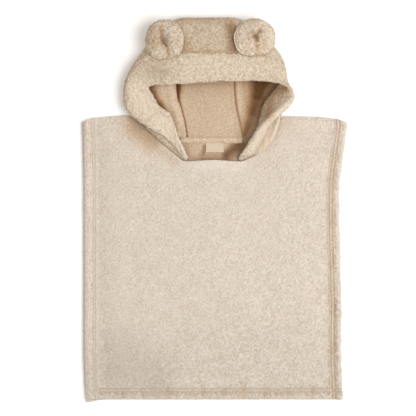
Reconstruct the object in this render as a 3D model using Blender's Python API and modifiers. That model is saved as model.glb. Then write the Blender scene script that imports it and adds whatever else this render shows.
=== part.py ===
"""Hooded bath poncho with bear ears, laid flat on its back.

The garment lies on the plane z = 0. +X points to its right edge as seen from above, +Y points
from the bottom hem to the hood, +Z points up. Tables hold millimetres, meshes hold metres.
"""

from collections import namedtuple
from math import cos, exp, pi, radians, sin

import bpy
from mathutils import Matrix, Vector
from mathutils.bvhtree import BVHTree

MM = 0.001

# Cloth
WALL = 3.0  # thickness of one layer of towelling
SEAM_GAP = 0.3  # between two pieces that are sewn together
BACK_MID = WALL / 2  # height of the middle of a layer that lies on the table

# Body panels
FRONT_BOTTOM = 3.7  # underside of the front panel where the panels lie on each other
HEM_RAISE = 1.2  # the turned hem stands this much above the field
SIDE_HEM = 24.0
BOTTOM_HEM = 19.0
HEM_SLOPE = 4.0
FRONT_NECK_EASE = 1.0  # more room at the front neckline, where the hood stands up from it
TIP_EASE = 2.0  # and at the band's two tips
SHOULDER_EASE = 2.5  # and where the neck seam turns over the shoulder
SHOULDER_Y = 198.0
SHOULDER_REACH = 9.0
NECK_LIFT = 5.0  # the front neckline stands open by this much at its middle
NECK_LIFT_PLACE = (-3.0, 100.0)
NECK_LIFT_SPREAD = (62.0, 45.0)

PanelRow = namedtuple("PanelRow", "y left right")
BODY_SIDES = [  # x of the two side edges, from the bottom hem up
    PanelRow(-401, -272, 270),
    PanelRow(-365, -275, 268),
    PanelRow(-300, -277, 266),
    PanelRow(-200, -277, 267),
    PanelRow(-100, -277, 264),
    PanelRow(0, -277, 262),
    PanelRow(60, -277, 263),
    PanelRow(110, -278, 269),
    PanelRow(150, -279, 275),
    PanelRow(178, -280, 279),
    PanelRow(197, -279, 276),
]
SHOULDER_ROLL = 1.8  # the cloth rounds off over the shoulder
SHOULDER_ROLL_REACH = 5.0
ShoulderPoint = namedtuple("ShoulderPoint", "x y")
SHOULDER_LEFT = [  # top edge, from the outer corner to the neck
    ShoulderPoint(-280, 186),
    ShoulderPoint(-262, 194),
    ShoulderPoint(-225, 198),
    ShoulderPoint(-190, 200),
    ShoulderPoint(-160, 199),
]
SHOULDER_RIGHT = [
    ShoulderPoint(141, 198),
    ShoulderPoint(180, 198),
    ShoulderPoint(225, 197),
    ShoulderPoint(262, 192),
    ShoulderPoint(280, 183),
]
LEFT_CORNER_DROP = 6.0  # the bottom left corner of the back panel hangs this much lower
CORNER_DROP_WIDTH = 26.0

# Hood centre strip: a row for each station from the back neck, over the crown, to the band
StripRow = namedtuple("StripRow", "y z left right")
STRIP = [
    StripRow(148, 1.5, -58, 62),
    StripRow(156, 1.5, -59, 60),
    StripRow(178, 1.5, -62, 55),
    StripRow(205, 1.5, -68, 48),
    StripRow(240, 1.5, -78, 43),
    StripRow(280, 1.5, -81, 41),
    StripRow(330, 1.5, -79, 42),
    StripRow(372, 1.8, -76, 43),
    StripRow(396, 7.5, -74, 44),
    StripRow(405.3, 20, -72, 45),
    StripRow(400, 33, -71, 45),
    StripRow(380, 39, -70, 45),
    StripRow(355, 41.5, -68, 45),
    StripRow(330, 43.5, -66, 44),
]

# Hood sides: a row for each station of the strip, from the strip's seam to the band's seam.
# The cloth runs along the table, turns up in a fold and comes back to the band.
SideRow = namedtuple("SideRow", "floor_in floor_out fold_low fold_high turn band rim roll bulge")
LEFT_SIDE = [
    SideRow((-96, 165, 1.5), (-130, 184, 1.5), (-153, 198, 1.5), (-153, 193, 5.5),
            (-106, 138, 5.5), (-64, 104, 6.0), (-57, 110, 11), 3.5, 7),
    SideRow((-97, 173, 1.5), (-131, 192, 1.5), (-157, 206, 2.6), (-157, 198, 9.5),
            (-111, 144, 9.5), (-71, 113, 10.0), (-61, 120, 17), 4, 8),
    SideRow((-104, 188, 3.5), (-138, 206, 1.5), (-163, 213, 4.5), (-163, 204, 13.5),
            (-125, 160, 14.0), (-92, 141, 17.0), (-72, 145, 25), 4, 8),
    SideRow((-112, 208, 6.5), (-148, 218, 1.5), (-174, 220, 6.0), (-174, 209, 16.5),
            (-149, 183, 18.5), (-125, 166, 23.0), (-84, 177, 31), 4, 8),
    SideRow((-119, 236, 8.5), (-160, 234, 1.5), (-184, 230, 7.0), (-185, 217, 19.0),
            (-174, 199, 24.0), (-160, 188, 28.5), (-97, 206, 33), 4, 8),
    SideRow((-121, 268, 9.0), (-166, 255, 1.5), (-188, 246, 8.0), (-190, 233, 19.0),
            (-189, 219, 26.0), (-181, 208, 29.5), (-117, 220, 33), 4, 8),
    SideRow((-118, 312, 7.5), (-164, 286, 1.5), (-187, 268, 8.5), (-191, 256, 20.0),
            (-191, 243, 27.0), (-188, 232, 30.0), (-126, 234, 34), 4, 8),
    SideRow((-112, 352, 5.0), (-152, 319, 2.0), (-176, 292, 10.0), (-186, 278, 21.0),
            (-189, 267, 28.5), (-188, 258, 31.5), (-134, 249, 35), 4, 8),
    SideRow((-104, 378, 3.5), (-140, 347, 5.0), (-163, 318, 13.0), (-174, 302, 23.0),
            (-180, 289, 30.0), (-182, 279, 34.0), (-139, 259, 36), 4, 8),
    SideRow((-98, 393, 14.0), (-127, 368, 13.0), (-147, 339, 19.0), (-159, 322, 27.0),
            (-167, 309, 33.0), (-170, 299, 37.0), (-134, 262, 38), 4, 8),
    SideRow((-91, 389, 31.0), (-113, 367, 29.5), (-130, 346, 31.0), (-139, 334, 34.0),
            (-145, 323, 37.0), (-148, 314, 39.5), (-118, 263, 40), 4, 8),
    SideRow((-82, 373, 38.5), (-95, 361, 38.5), (-105, 349, 38.8), (-111, 338, 39.5),
            (-115, 329, 40.3), (-118, 320.5, 41.0), (-99, 264, 42), 4, 8),
    SideRow((-73, 352, 41.5), (-79, 347, 41.5), (-84, 341, 41.8), (-88, 335, 42.0),
            (-92, 331, 42.3), (-95, 324, 42.5), (-84, 265, 43), 4, 8),
    SideRow((-68, 330.0, 43.4), (-70, 329.7, 43.4), (-72, 329.3, 43.3), (-74, 328.8, 43.3),
            (-76, 328.3, 43.2), (-79, 327.5, 43.1), (-72, 266, 43.5), 4, 8),
]
RIGHT_SIDE = [
    SideRow((88, 161, 1.5), (114, 181, 1.5), (135, 197, 1.5), (134, 192, 5.5),
            (111, 133, 5.5), (57, 104, 6.0), (50, 112, 12), 3.5, 7),
    SideRow((89, 170, 1.5), (116, 190, 1.5), (139, 205, 2.6), (138, 197, 9.5),
            (112, 134, 9.5), (66, 110, 9.5), (57, 121, 20), 5, 11),
    SideRow((92, 186, 1.5), (121, 204, 1.5), (144, 213, 4.5), (141, 203, 12.5),
            (111, 139, 13.0), (82, 121, 10.5), (70, 138, 33), 6, 17),
    SideRow((92, 207, 1.5), (125, 216, 1.5), (148, 219, 5.0), (143, 209, 13.0),
            (111, 154, 14.0), (93, 143, 11.5), (88, 162, 47), 7, 20),
    SideRow((90, 234, 1.5), (129, 231, 1.5), (152, 227, 5.0), (146, 216, 13.0),
            (115, 176, 14.0), (95, 168, 12.0), (113, 187, 55), 7, 20),
    SideRow((90, 264, 1.5), (132, 249, 1.5), (156, 238, 5.0), (150, 226, 13.0),
            (122, 202, 13.5), (97, 194, 12.5), (136, 205, 58), 7, 18),
    SideRow((92, 302, 1.5), (136, 272, 1.5), (159, 252, 5.0), (154, 240, 13.0),
            (128, 225, 13.5), (103, 220, 13.0), (156, 220, 57), 7, 15),
    SideRow((90, 346, 1.5), (130, 306, 1.5), (152, 277, 5.5), (152, 264, 13.5),
            (136, 251, 15.0), (116, 242, 14.0), (168, 237, 55), 6.5, 13),
    SideRow((84, 374, 3.5), (120, 336, 4.5), (144, 301, 9.0), (149, 285, 15.0),
            (144, 272, 17.5), (133, 261, 17.5), (165, 250, 53), 5.5, 11),
    SideRow((78, 393, 14.0), (110, 364, 13.0), (134, 332, 16.0), (144, 315, 19.5),
            (147, 301, 22.5), (147, 287, 25.0), (153, 260, 51), 4.5, 9),
    SideRow((70, 389, 31.0), (96, 368, 29.5), (116, 350, 30.0), (129, 337, 31.5),
            (139, 324, 33.0), (147, 310, 34.5), (138, 267, 49), 4, 8),
    SideRow((60, 373, 38.5), (78, 361, 38.5), (94, 349, 38.8), (106, 339, 39.3),
            (115, 331, 40.0), (123, 322, 40.5), (116, 270, 48), 4, 8),
    SideRow((53, 352, 41.5), (61, 347, 41.5), (69, 342, 41.8), (76, 337, 42.0),
            (81, 333, 42.3), (85, 328, 42.8), (84, 272, 47), 4, 8),
    SideRow((46, 330.2, 43.5), (48, 330.3, 43.4), (50, 330.3, 43.4), (52, 330.2, 43.4),
            (54, 330.1, 43.3), (57, 330.0, 43.3), (57, 272, 46), 4, 8),
]
RIM_MIDDLE = (-6, 271, 46)  # the rim where the band crosses the forehead
BAND_MIDDLE_RISE = 2.5  # the band's seam runs in a low arch across the forehead
BAND_MIDDLE_BACK = 2.0  # and bows back towards the crown by this much
ARCH_START = 0.7  # share of the strip's length where the arch begins
BAND_BASE_THICK = 3.6
END_SEAM_SLANT = 0.3  # a row that leaves a seam at less than this sine runs along it

# Mesh density
STATION_STEPS = 2  # rows between two stations of the hood
SIDE_STEPS = 2  # columns between two points of a side row
STRIP_COLUMNS = 6
BAND_COLUMNS = 5
NOSE_STEPS = 4
PANEL_ROWS = 14
PANEL_STEP = 24.0
BOTTOM_STEPS = (0.0, BOTTOM_HEM - 2, BOTTOM_HEM + 2)  # rows above the bottom edge
TOP_STEPS = (9.0, 4.0, 1.5, 0.0)  # rows below the top edge
SIDE_SHARE = 0.2  # of the body's width, at each side, that follows the side edge's curve

# Neck tape and label
TAPE_WIDTH = 13.0
TAPE_THICK = 1.6
TAPE_LEFT = -72.0
TAPE_RIGHT = 59.0
LABEL_SIZE = (38.0, 19.0, 0.8)
LABEL_X = 0.5

# Ears
Ear = namedtuple("Ear", "name x y width height lean turn creases")
Crease = namedtuple("Crease", "start end depth width")
EARS = [
    Ear("ear_left", -105, 363, 83, 85, -2, 4,
        [Crease((-9, 14), (-5, -8), 7, 9), Crease((-5, -8), (3, -36), 8, 9)]),
    Ear("ear_right", 84.5, 367, 89, 80, -2, 3,
        [Crease((15, 12), (3, -2), 7, 9), Crease((3, -2), (3, -34), 8, 9)]),
]
EAR_FRONT = 16.0  # swell of the front face
EAR_BACK = 9.0
EAR_SINK = 9.0  # the soft underside gives by this much where it meets the hood
EAR_LEAST = 4.0  # thickness left where the ear is pressed flat
EAR_BASE_POWER = 3.0  # squareness of the base, where the ear is caught in the seam
EAR_RINGS = 7
EAR_SIDES = 32
EAR_GAP = 0.4
EAR_PROBE = 5.0  # the hood's height under the ear is felt over this much round each point
DROP_FROM = 150.0  # height from which the ears are let down

COLOURS = {
    "body": (0.70, 0.61, 0.50),
    "hood": (0.66, 0.56, 0.45),
    "band": (0.70, 0.60, 0.48),
    "ear": (0.66, 0.56, 0.45),
    "tape": (0.72, 0.61, 0.48),
    "label": (0.74, 0.66, 0.54),
}


# ---------------------------------------------------------------- curves and meshes

def clear_scene():
    for item in list(bpy.data.objects):
        bpy.data.objects.remove(item)


def cloth_material(kind):
    material = bpy.data.materials.get(kind) or bpy.data.materials.new(kind)
    material.use_nodes = True
    shader = material.node_tree.nodes["Principled BSDF"]
    shader.inputs["Base Color"].default_value = (*COLOURS[kind], 1)
    shader.inputs["Roughness"].default_value = 0.9
    shader.inputs["Metallic"].default_value = 0.0
    return material


def new_piece(name, points, faces, kind, collection):
    mesh = bpy.data.meshes.new(name)
    mesh.from_pydata([tuple(p * MM) for p in points], [], faces)
    mesh.materials.append(cloth_material(kind))
    mesh.shade_smooth()
    mesh.set_sharp_from_angle(angle=radians(50))
    piece = bpy.data.objects.new(name, mesh)
    collection.objects.link(piece)
    return piece


def smooth_path(stops, steps):
    """A curve through the stops, with this many steps between two of them."""
    stops = [Vector(p) for p in stops]
    gaps = [max((b - a).length, 1e-6) for a, b in zip(stops, stops[1:])]
    slopes = [(b - a) / gap for a, b, gap in zip(stops, stops[1:], gaps)]
    tangents = [slopes[0]]
    for i in range(1, len(stops) - 1):
        before, after = gaps[i - 1], gaps[i]
        tangents.append((slopes[i] * before + slopes[i - 1] * after) / (before + after))
    tangents.append(slopes[-1])
    path = [stops[0]]
    for i, gap in enumerate(gaps):
        for step in range(1, steps + 1):
            t = step / steps
            path.append(
                stops[i] * (2 * t**3 - 3 * t**2 + 1)
                + tangents[i] * gap * (t**3 - 2 * t**2 + t)
                + stops[i + 1] * (3 * t**2 - 2 * t**3)
                + tangents[i + 1] * gap * (t**3 - t**2)
            )
    return path


def between(stops, x):
    """The y of a broken line of (x, y) stops at x."""
    if x <= stops[0][0]:
        return stops[0][1]
    for (x0, y0), (x1, y1) in zip(stops, stops[1:]):
        if x <= x1:
            return y0 + (y1 - y0) * (x - x0) / (x1 - x0)
    return stops[-1][1]


def bump(distance, reach):
    return exp(-((distance / reach) ** 2))


def rim_of(rows, columns):
    """The points round the border of a grid, in order."""
    edge = [j for j in range(columns)]
    edge += [i * columns + columns - 1 for i in range(1, rows)]
    edge += [(rows - 1) * columns + j for j in range(columns - 2, -1, -1)]
    edge += [i * columns for i in range(rows - 2, 0, -1)]
    return edge


def wall(name, upper, lower, kind, collection):
    """A closed wall between two grids of points; the upper one is seen anticlockwise.

    Each quad is split along its shorter diagonal, the same one on both faces of the wall.
    """
    rows, columns = len(upper), len(upper[0])
    points = [p for row in upper for p in row] + [p for row in lower for p in row]
    below = rows * columns
    faces = []
    for i in range(rows - 1):
        for j in range(columns - 1):
            a, b = i * columns + j, i * columns + j + 1
            c, d = b + columns, a + columns
            one = (points[a] + points[a + below] - points[c] - points[c + below]).length
            other = (points[b] + points[b + below] - points[d] - points[d + below]).length
            halves = ((a, b, c), (a, c, d)) if one < other else ((a, b, d), (b, c, d))
            for half in halves:
                faces.append(half)
                faces.append(tuple(corner + below for corner in reversed(half)))
    edge = rim_of(rows, columns)
    for a, b in zip(edge, edge[1:] + edge[:1]):
        faces.append((b, a, below + a, below + b))
    return new_piece(name, points, faces, kind, collection)


# ---------------------------------------------------------------- hood

def hood_grids():
    """Middle surfaces of the strip and the two sides, and the rim's path, as grids of points.

    Every grid has a row for each station from the neck to the forehead. A side grid runs from
    the strip's seam to the band's seam.
    """
    def stations(stops):
        return smooth_path(stops, STATION_STEPS)

    def clamped(grid):
        return [[Vector((p.x, p.y, max(p.z, BACK_MID))) for p in row] for row in grid]

    def side(rows, edge):
        lines = []
        for strip_row, row in zip(STRIP, rows):
            start = (getattr(strip_row, edge), strip_row.y, strip_row.z)
            stops = [start, row.floor_in, row.floor_out, row.fold_low, row.fold_high, row.turn, row.band]
            lines.append(smooth_path(stops, SIDE_STEPS))
        columns = [stations(column) for column in zip(*lines)]
        return clamped([list(row) for row in zip(*columns)])

    left, right = side(LEFT_SIDE, "left"), side(RIGHT_SIDE, "right")
    strip = []
    for station, (row_left, row_right) in enumerate(zip(left, right)):
        arch = max(0.0, (station / len(left) - ARCH_START) / (1 - ARCH_START))
        strip.append([])
        for j in range(STRIP_COLUMNS + 1):
            share = j / STRIP_COLUMNS
            lift = Vector((0, BAND_MIDDLE_BACK, BAND_MIDDLE_RISE)) * arch * sin(pi * share)
            strip[-1].append(row_left[0].lerp(row_right[0], share) + lift)
    rims = [stations([row.rim for row in rows]) for rows in (LEFT_SIDE, RIGHT_SIDE)]
    folds = [stations([(row.roll, row.bulge, 0) for row in rows]) for rows in (LEFT_SIDE, RIGHT_SIDE)]
    return strip, left, right, rims, folds


def key(point):
    return tuple(round(c, 3) for c in point)


def band_grid(strip, left, right, rims, folds):
    """The band's middle surface, a column of points for each stop from the left tip to the right
    tip, from its seam to the middle of its rolled rim, with the roll's radius and the thickness
    of the folded cloth at each stop."""
    middle = smooth_path([rims[0][-1], RIM_MIDDLE, rims[1][-1]], STRIP_COLUMNS // 2 + 1)
    bases = [row[-1] for row in left] + strip[-1] + [row[-1] for row in reversed(right)]
    tops = rims[0] + middle[1:-1] + list(reversed(rims[1]))
    folds = folds[0] + [folds[0][-1]] * (STRIP_COLUMNS + 1) + list(reversed(folds[1]))
    columns = []
    for base, top, fold in zip(bases, tops, folds):
        nose = top - (top - base).normalized() * fold.x
        columns.append([base.lerp(nose, j / BAND_COLUMNS) for j in range(BAND_COLUMNS + 1)])
    return columns, folds


def add_normals(grid, normals, flip=False):
    """Adds each quad's normal, towards the inside of the hood, to its corners."""
    for row, following in zip(grid, grid[1:]):
        for j in range(len(row) - 1):
            a, b, c, d = row[j], row[j + 1], following[j + 1], following[j]
            normal = (c - a).cross(d - b)
            if flip:
                normal = -normal
            for corner in (a, b, c, d):
                normals[key(corner)] = normals.get(key(corner), Vector()) + normal.normalized()


def share_normals(row, normals):
    """Gives the points between the two ends of a row the normals between those of the ends."""
    first, last = normals[key(row[0])], normals[key(row[-1])]
    for j, point in enumerate(row):
        normals[key(point)] = first.lerp(last, j / (len(row) - 1)).normalized()


def off_seam(point, inner, seam_before, seam_after):
    """The way from a seam into the cloth, square to the seam, or none where a row ends along it."""
    way = inner - point
    along = (seam_after - seam_before).normalized()
    square = way - along * way.dot(along)
    if square.length < END_SEAM_SLANT * way.length:
        return Vector()
    return square.normalized() * SEAM_GAP / 2


def drawn_in(grid):
    """The grid with its border moved inwards by half a seam's gap."""
    rows, columns = len(grid), len(grid[0])
    inner = [[p.copy() for p in row] for row in grid]
    for j in range(columns):
        before, after = max(j - 1, 0), min(j + 1, columns - 1)
        for i, beside in ((0, 1), (rows - 1, rows - 2)):
            inner[i][j] += off_seam(grid[i][j], grid[beside][j], grid[i][before], grid[i][after])
    for i in range(rows):
        before, after = max(i - 1, 0), min(i + 1, rows - 1)
        for j, beside in ((0, 1), (columns - 1, columns - 2)):
            inner[i][j] += off_seam(grid[i][j], grid[i][beside], grid[before][j], grid[after][j])
    return inner


def hood_wall(name, grid, normals, flip, collection):
    """A hood panel: the inside of the hood is the wall's upper face."""
    spread = drawn_in(grid)
    inside, outside = [], []
    for row, shifted in zip(grid, spread):
        inside.append([s + normals[key(p)] * WALL / 2 for p, s in zip(row, shifted)])
        outside.append([s - normals[key(p)] * WALL / 2 for p, s in zip(row, shifted)])
    if flip:
        inside, outside = outside, inside
    return wall(name, inside, outside, "hood", collection)


def band_ring(column, base, normals, roll, bulge):
    """One section of the band: up its outer face, round the rolled rim and down its inner face."""
    last = len(column) - 1
    outer, inner = [], []
    for j, point in enumerate([base] + column[1:]):
        share = j / last
        thick = BAND_BASE_THICK + (2 * roll - BAND_BASE_THICK) * share
        thick += max(bulge - thick, 0) * sin(pi * share) ** 1.5
        normal = normals[key(column[j])]
        outer.append(point - normal * thick / 2)
        inner.append(point + normal * thick / 2)
    ahead = (column[-1] - column[-2]).normalized()
    normal = normals[key(column[-1])]
    nose = []
    for step in range(1, NOSE_STEPS):
        turn = pi * step / NOSE_STEPS
        nose.append(column[-1] + (-normal * cos(turn) + ahead * sin(turn)) * roll)
    return outer + nose + inner[::-1]


def loft(name, rings, kind, collection):
    """A closed body through rings of equally many points, with a fan over each end."""
    count = len(rings[0])
    points = [p for ring in rings for p in ring]
    faces = []
    for i in range(len(rings) - 1):
        for j in range(count):
            a, b = i * count + j, i * count + (j + 1) % count
            faces.append((a, b, b + count, a + count))
    for ring_at, turn in ((0, 1), (len(rings) - 1, -1)):
        centre = sum(rings[ring_at], Vector()) / count
        points.append(centre)
        for j in range(count):
            a, b = ring_at * count + j, ring_at * count + (j + 1) % count
            faces.append((b, a, len(points) - 1)[::turn])
    return new_piece(name, points, faces, kind, collection)


def build_hood(collection):
    strip, left, right, rims, folds = hood_grids()
    band, folds = band_grid(strip, left, right, rims, folds)
    normals = {}
    add_normals(strip, normals)
    add_normals(right, normals)
    add_normals(left, normals, flip=True)
    add_normals(band, normals, flip=True)
    for normal in normals.values():
        normal.normalize()
    for end in (left[-1], right[-1]):
        share_normals(end, normals)
    pieces = [
        hood_wall("hood_centre", strip, normals, False, collection),
        hood_wall("hood_side_right", right, normals, False, collection),
        hood_wall("hood_side_left", left, normals, True, collection),
    ]
    rings = []
    for i, (column, fold) in enumerate(zip(band, folds)):
        before, after = band[max(i - 1, 0)][0], band[min(i + 1, len(band) - 1)][0]
        base = column[0] + off_seam(column[0], column[1], before, after)
        rings.append(band_ring(column, base, normals, fold.x, fold.y))
    pieces.append(loft("hood_band", rings, "band", collection))
    neck = [(p, normals[key(p)]) for p in reversed(left[0])]
    neck += [(p, normals[key(p)]) for p in strip[0][1:-1]]
    neck += [(p, normals[key(p)]) for p in right[0]]
    return pieces, neck


# ---------------------------------------------------------------- body

def neckline(neck, is_front):
    """The edge that a panel turns to the hood, as (x, y) stops from left to right.

    The neck seam of the hood runs from one band tip round the back to the other. Its stops above
    the table belong to the front panel, and the panel keeps clear of the hood's wall there.
    """
    half = len(neck) // 2
    stops = []
    for i, (point, normal) in enumerate(neck):
        above = point.z > (FRONT_BOTTOM + BACK_MID) / 2 + 0.5
        if above != is_front:
            continue
        clear = SEAM_GAP + WALL / 2 * Vector((normal.x, normal.y)).length
        if is_front:
            clear += TIP_EASE if i in (0, len(neck) - 1) else FRONT_NECK_EASE
        clear += SHOULDER_EASE * bump(point.y - SHOULDER_Y, SHOULDER_REACH)
        ahead = neck[min(i + 1, len(neck) - 1)][0] - neck[max(i - 1, 0)][0]
        out = Vector((ahead.y, -ahead.x)).normalized()
        if is_front:
            away = Vector((-1 if i < half else 1, -0.6)).normalized()
        else:
            away = Vector((0, -1))
        if out.dot(away) < 0:
            out = -out
        stops.append((point.x + out.x * clear, point.y + out.y * clear))
    return sorted(stops)


def hem_height(x, y, left, right, bottom):
    """Height of the turned hem above the field at a point of a panel."""
    def edge(distance, width):
        return min(max((width - distance) / HEM_SLOPE + 0.5, 0.0), 1.0)

    nearest = max(
        edge(x - left, SIDE_HEM), edge(right - x, SIDE_HEM), edge(y - bottom, BOTTOM_HEM)
    )
    return HEM_RAISE * nearest


def front_lift(x, y):
    """How far the front panel stands off the back one, in a soft swell below the neckline."""
    away_x = bump(x - NECK_LIFT_PLACE[0], NECK_LIFT_SPREAD[0])
    return NECK_LIFT * away_x * bump(y - NECK_LIFT_PLACE[1], NECK_LIFT_SPREAD[1])


def panel_columns(stops):
    """Shares across the panel: evenly spaced, with the neckline's own stops where it dips."""
    left, right = BODY_SIDES[-1].left, BODY_SIDES[-1].right
    marks = {left, right, left + SIDE_HEM - 2, left + SIDE_HEM + 2}
    marks |= {right - SIDE_HEM - 2, right - SIDE_HEM + 2, left + 9, right - 9}
    marks |= {x for x, _ in stops}
    ordered = sorted(marks)
    filled = []
    for a, b in zip(ordered, ordered[1:]):
        parts = max(1, round((b - a) / PANEL_STEP))
        filled += [a + (b - a) * k / parts for k in range(parts)]
    filled.append(ordered[-1])
    spaced = [filled[0]]
    for x in filled[1:]:
        if x - spaced[-1] > 1.5:
            spaced.append(x)
    spaced[-1] = filled[-1]
    return [(x - left) / (right - left) for x in spaced]


def panel_edge(y):
    left = between([(row.y, row.left) for row in BODY_SIDES], y)
    right = between([(row.y, row.right) for row in BODY_SIDES], y)
    return left, right


def row_height(row, low, top):
    """The y of a row of a panel: close rows at the hem and the top edge, even ones between."""
    if row < len(BOTTOM_STEPS):
        return low + BOTTOM_STEPS[row]
    row -= len(BOTTOM_STEPS)
    if row >= PANEL_ROWS:
        return top - TOP_STEPS[row - PANEL_ROWS]
    start, end = low + BOTTOM_STEPS[-1], top - TOP_STEPS[0]
    return start + (end - start) * (row + 1) / (PANEL_ROWS + 1)


def panel(name, neck, is_front, collection):
    stops = neckline(neck, is_front)
    top = [*SHOULDER_LEFT, *stops, *SHOULDER_RIGHT]
    bottom = BODY_SIDES[0].y
    shares = panel_columns(stops)
    width_left, width_right = BODY_SIDES[-1].left, BODY_SIDES[-1].right
    upper, lower = [], []
    for row in range(len(BOTTOM_STEPS) + PANEL_ROWS + len(TOP_STEPS)):
        upper.append([])
        lower.append([])
        for share in shares:
            x_top = width_left + (width_right - width_left) * share
            y_top = between(top, x_top)
            low = bottom
            if not is_front:
                low -= LEFT_CORNER_DROP * bump(share * (width_right - width_left), CORNER_DROP_WIDTH)
            y = row_height(row, low, y_top)
            left, right = panel_edge(y)
            x = x_top + (left - width_left) * max(0.0, 1 - share / SIDE_SHARE)
            x += (right - width_right) * max(0.0, 1 - (1 - share) / SIDE_SHARE)
            hem = hem_height(x, y, left, right, low)
            in_neck = stops[0][0] < x_top < stops[-1][0]
            roll = 0.0 if in_neck else SHOULDER_ROLL * bump(y_top - y, SHOULDER_ROLL_REACH)
            if is_front:
                base = FRONT_BOTTOM + hem + front_lift(x, y)
                surface = base + WALL + hem - roll
            else:
                base, surface = roll / 2, WALL + hem
            upper[-1].append(Vector((x, y, surface)))
            lower[-1].append(Vector((x, y, base)))
    return wall(name, upper, lower, "body", collection)


# ---------------------------------------------------------------- trims and ears

def slab(name, x, y, z, size, kind, collection):
    """A flat piece of cloth with its lowest left corner at x, y, z."""
    piece = wall(
        name,
        [[Vector((x + i * size[0] / 4, y + j * size[1], z + size[2])) for i in range(5)] for j in (0, 1)],
        [[Vector((x + i * size[0] / 4, y + j * size[1], z)) for i in range(5)] for j in (0, 1)],
        kind,
        collection,
    )
    edge = piece.modifiers.new("Soft edge", "BEVEL")
    edge.width = 0.25 * size[2] * MM
    edge.limit_method = "ANGLE"
    return piece


def ear_profile(turn):
    """Radius of the ear's outline as a share of its half size: round, squarer at the base."""
    power = 2.0 + (EAR_BASE_POWER - 2.0) * max(0.0, -cos(turn))
    return (abs(sin(turn)) ** power + abs(cos(turn)) ** power) ** (-1 / power)


def ear_point(ear, ring, side, front):
    turn = 2 * pi * side / EAR_SIDES
    share = sin(pi / 2 * ring / EAR_RINGS)
    x = ear.width / 2 * ear_profile(turn) * share * sin(turn)
    y = ear.height / 2 * ear_profile(turn) * share * cos(turn)
    crown = max(0.0, 1 - share**2.6) ** 0.55
    if not front:
        return Vector((x, y, -EAR_BACK * crown))
    height = EAR_FRONT * crown
    for crease in ear.creases:
        start, end = Vector(crease.start), Vector(crease.end)
        along = end - start
        place = Vector((x, y)) - start
        share_along = min(max(place.dot(along) / along.length_squared, 0.0), 1.0)
        off = (place - along * share_along).length
        height -= crease.depth * bump(off, crease.width) * min(1.0, crown * 1.6)
    return Vector((x, y, max(height, 0.0)))


def make_ear(ear, carriers, collection):
    """A stuffed ear that leans back over the crown, seated on the cloth below it."""
    points, faces = [], []
    for front in (True, False):
        points.append(ear_point(ear, 0, 0, front))
        rings = EAR_RINGS if front else EAR_RINGS - 1
        for ring in range(1, rings + 1):
            points += [ear_point(ear, ring, side, front) for side in range(EAR_SIDES)]
    back = 1 + EAR_RINGS * EAR_SIDES

    def at(ring, side, front):
        if ring == EAR_RINGS or front:
            return 1 + (ring - 1) * EAR_SIDES + side % EAR_SIDES
        return back + 1 + (ring - 1) * EAR_SIDES + side % EAR_SIDES

    for side in range(EAR_SIDES):
        faces.append((0, at(1, side + 1, True), at(1, side, True)))
        faces.append((back, at(1, side, False), at(1, side + 1, False)))
        for ring in range(1, EAR_RINGS):
            for front in (True, False):
                quad = (at(ring, side, front), at(ring, side + 1, front),
                        at(ring + 1, side + 1, front), at(ring + 1, side, front))
                faces.append(quad if front else quad[::-1])
    tilt = Matrix.Rotation(radians(ear.turn), 3, "Z") @ Matrix.Rotation(radians(ear.lean), 3, "X")
    points = [tilt @ p + Vector((ear.x, ear.y, 0)) for p in points]
    grounds = [ground_under(p.x, p.y, carriers) for p in points]
    rise = max(ground - p.z for p, ground in zip(points, grounds)) - EAR_SINK
    settled = []
    for i, (point, ground) in enumerate(zip(points, grounds)):
        inside_front = i < 1 + (EAR_RINGS - 1) * EAR_SIDES
        least = ground + EAR_GAP + (EAR_LEAST if inside_front else 0.0)
        settled.append(Vector((point.x, point.y, max(point.z + rise, least))))
    return new_piece(ear.name, settled, faces, "ear", collection)


def ground_under(x, y, carriers):
    """Height of the highest carrying piece at a place and just round it, or 0 off their edge."""
    highest = 0.0
    for across, along in ((0, 0), (1, 0), (-1, 0), (0, 1), (0, -1)):
        place = Vector((x + across * EAR_PROBE, y + along * EAR_PROBE, DROP_FROM))
        for tree in carriers:
            hit = tree.ray_cast(place * MM, Vector((0, 0, -1)))
            if hit[0] is not None:
                highest = max(highest, hit[0].z / MM)
    return highest


def tree_of(piece):
    mesh = piece.data
    return BVHTree.FromPolygons([v.co for v in mesh.vertices], [list(p.vertices) for p in mesh.polygons])


def build_poncho():
    clear_scene()
    collection = bpy.data.collections.new("hooded_bath_poncho")
    bpy.context.scene.collection.children.link(collection)
    hood, neck = build_hood(collection)
    panel("body_back", neck, False, collection)
    panel("body_front", neck, True, collection)
    carriers = [tree_of(piece) for piece in hood]
    for ear in EARS:
        make_ear(ear, carriers, collection)
    seam = STRIP[0].y
    slab(
        "neck_tape",
        TAPE_LEFT,
        seam - TAPE_WIDTH / 2,
        WALL + SEAM_GAP,
        (TAPE_RIGHT - TAPE_LEFT, TAPE_WIDTH, TAPE_THICK),
        "tape",
        collection,
    )
    slab(
        "label",
        LABEL_X - LABEL_SIZE[0] / 2,
        seam - TAPE_WIDTH / 2 - SEAM_GAP - LABEL_SIZE[1],
        WALL + SEAM_GAP,
        LABEL_SIZE,
        "label",
        collection,
    )


build_poncho()
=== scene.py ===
"""Looks of the hooded bath poncho: towelling with its nap, seams, hems and stitching, on its frame.

Tables and sizes are in millimetres, meshes in metres. The garment lies on z = 0 with its hood
towards +Y, as in the frame. The tables of the hood and the body repeat the part's own.
"""

from collections import namedtuple
from math import cos, pi, radians, sin

import bpy
import numpy as np
from mathutils import Matrix, Vector, noise
from mathutils.bvhtree import BVHTree


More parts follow.
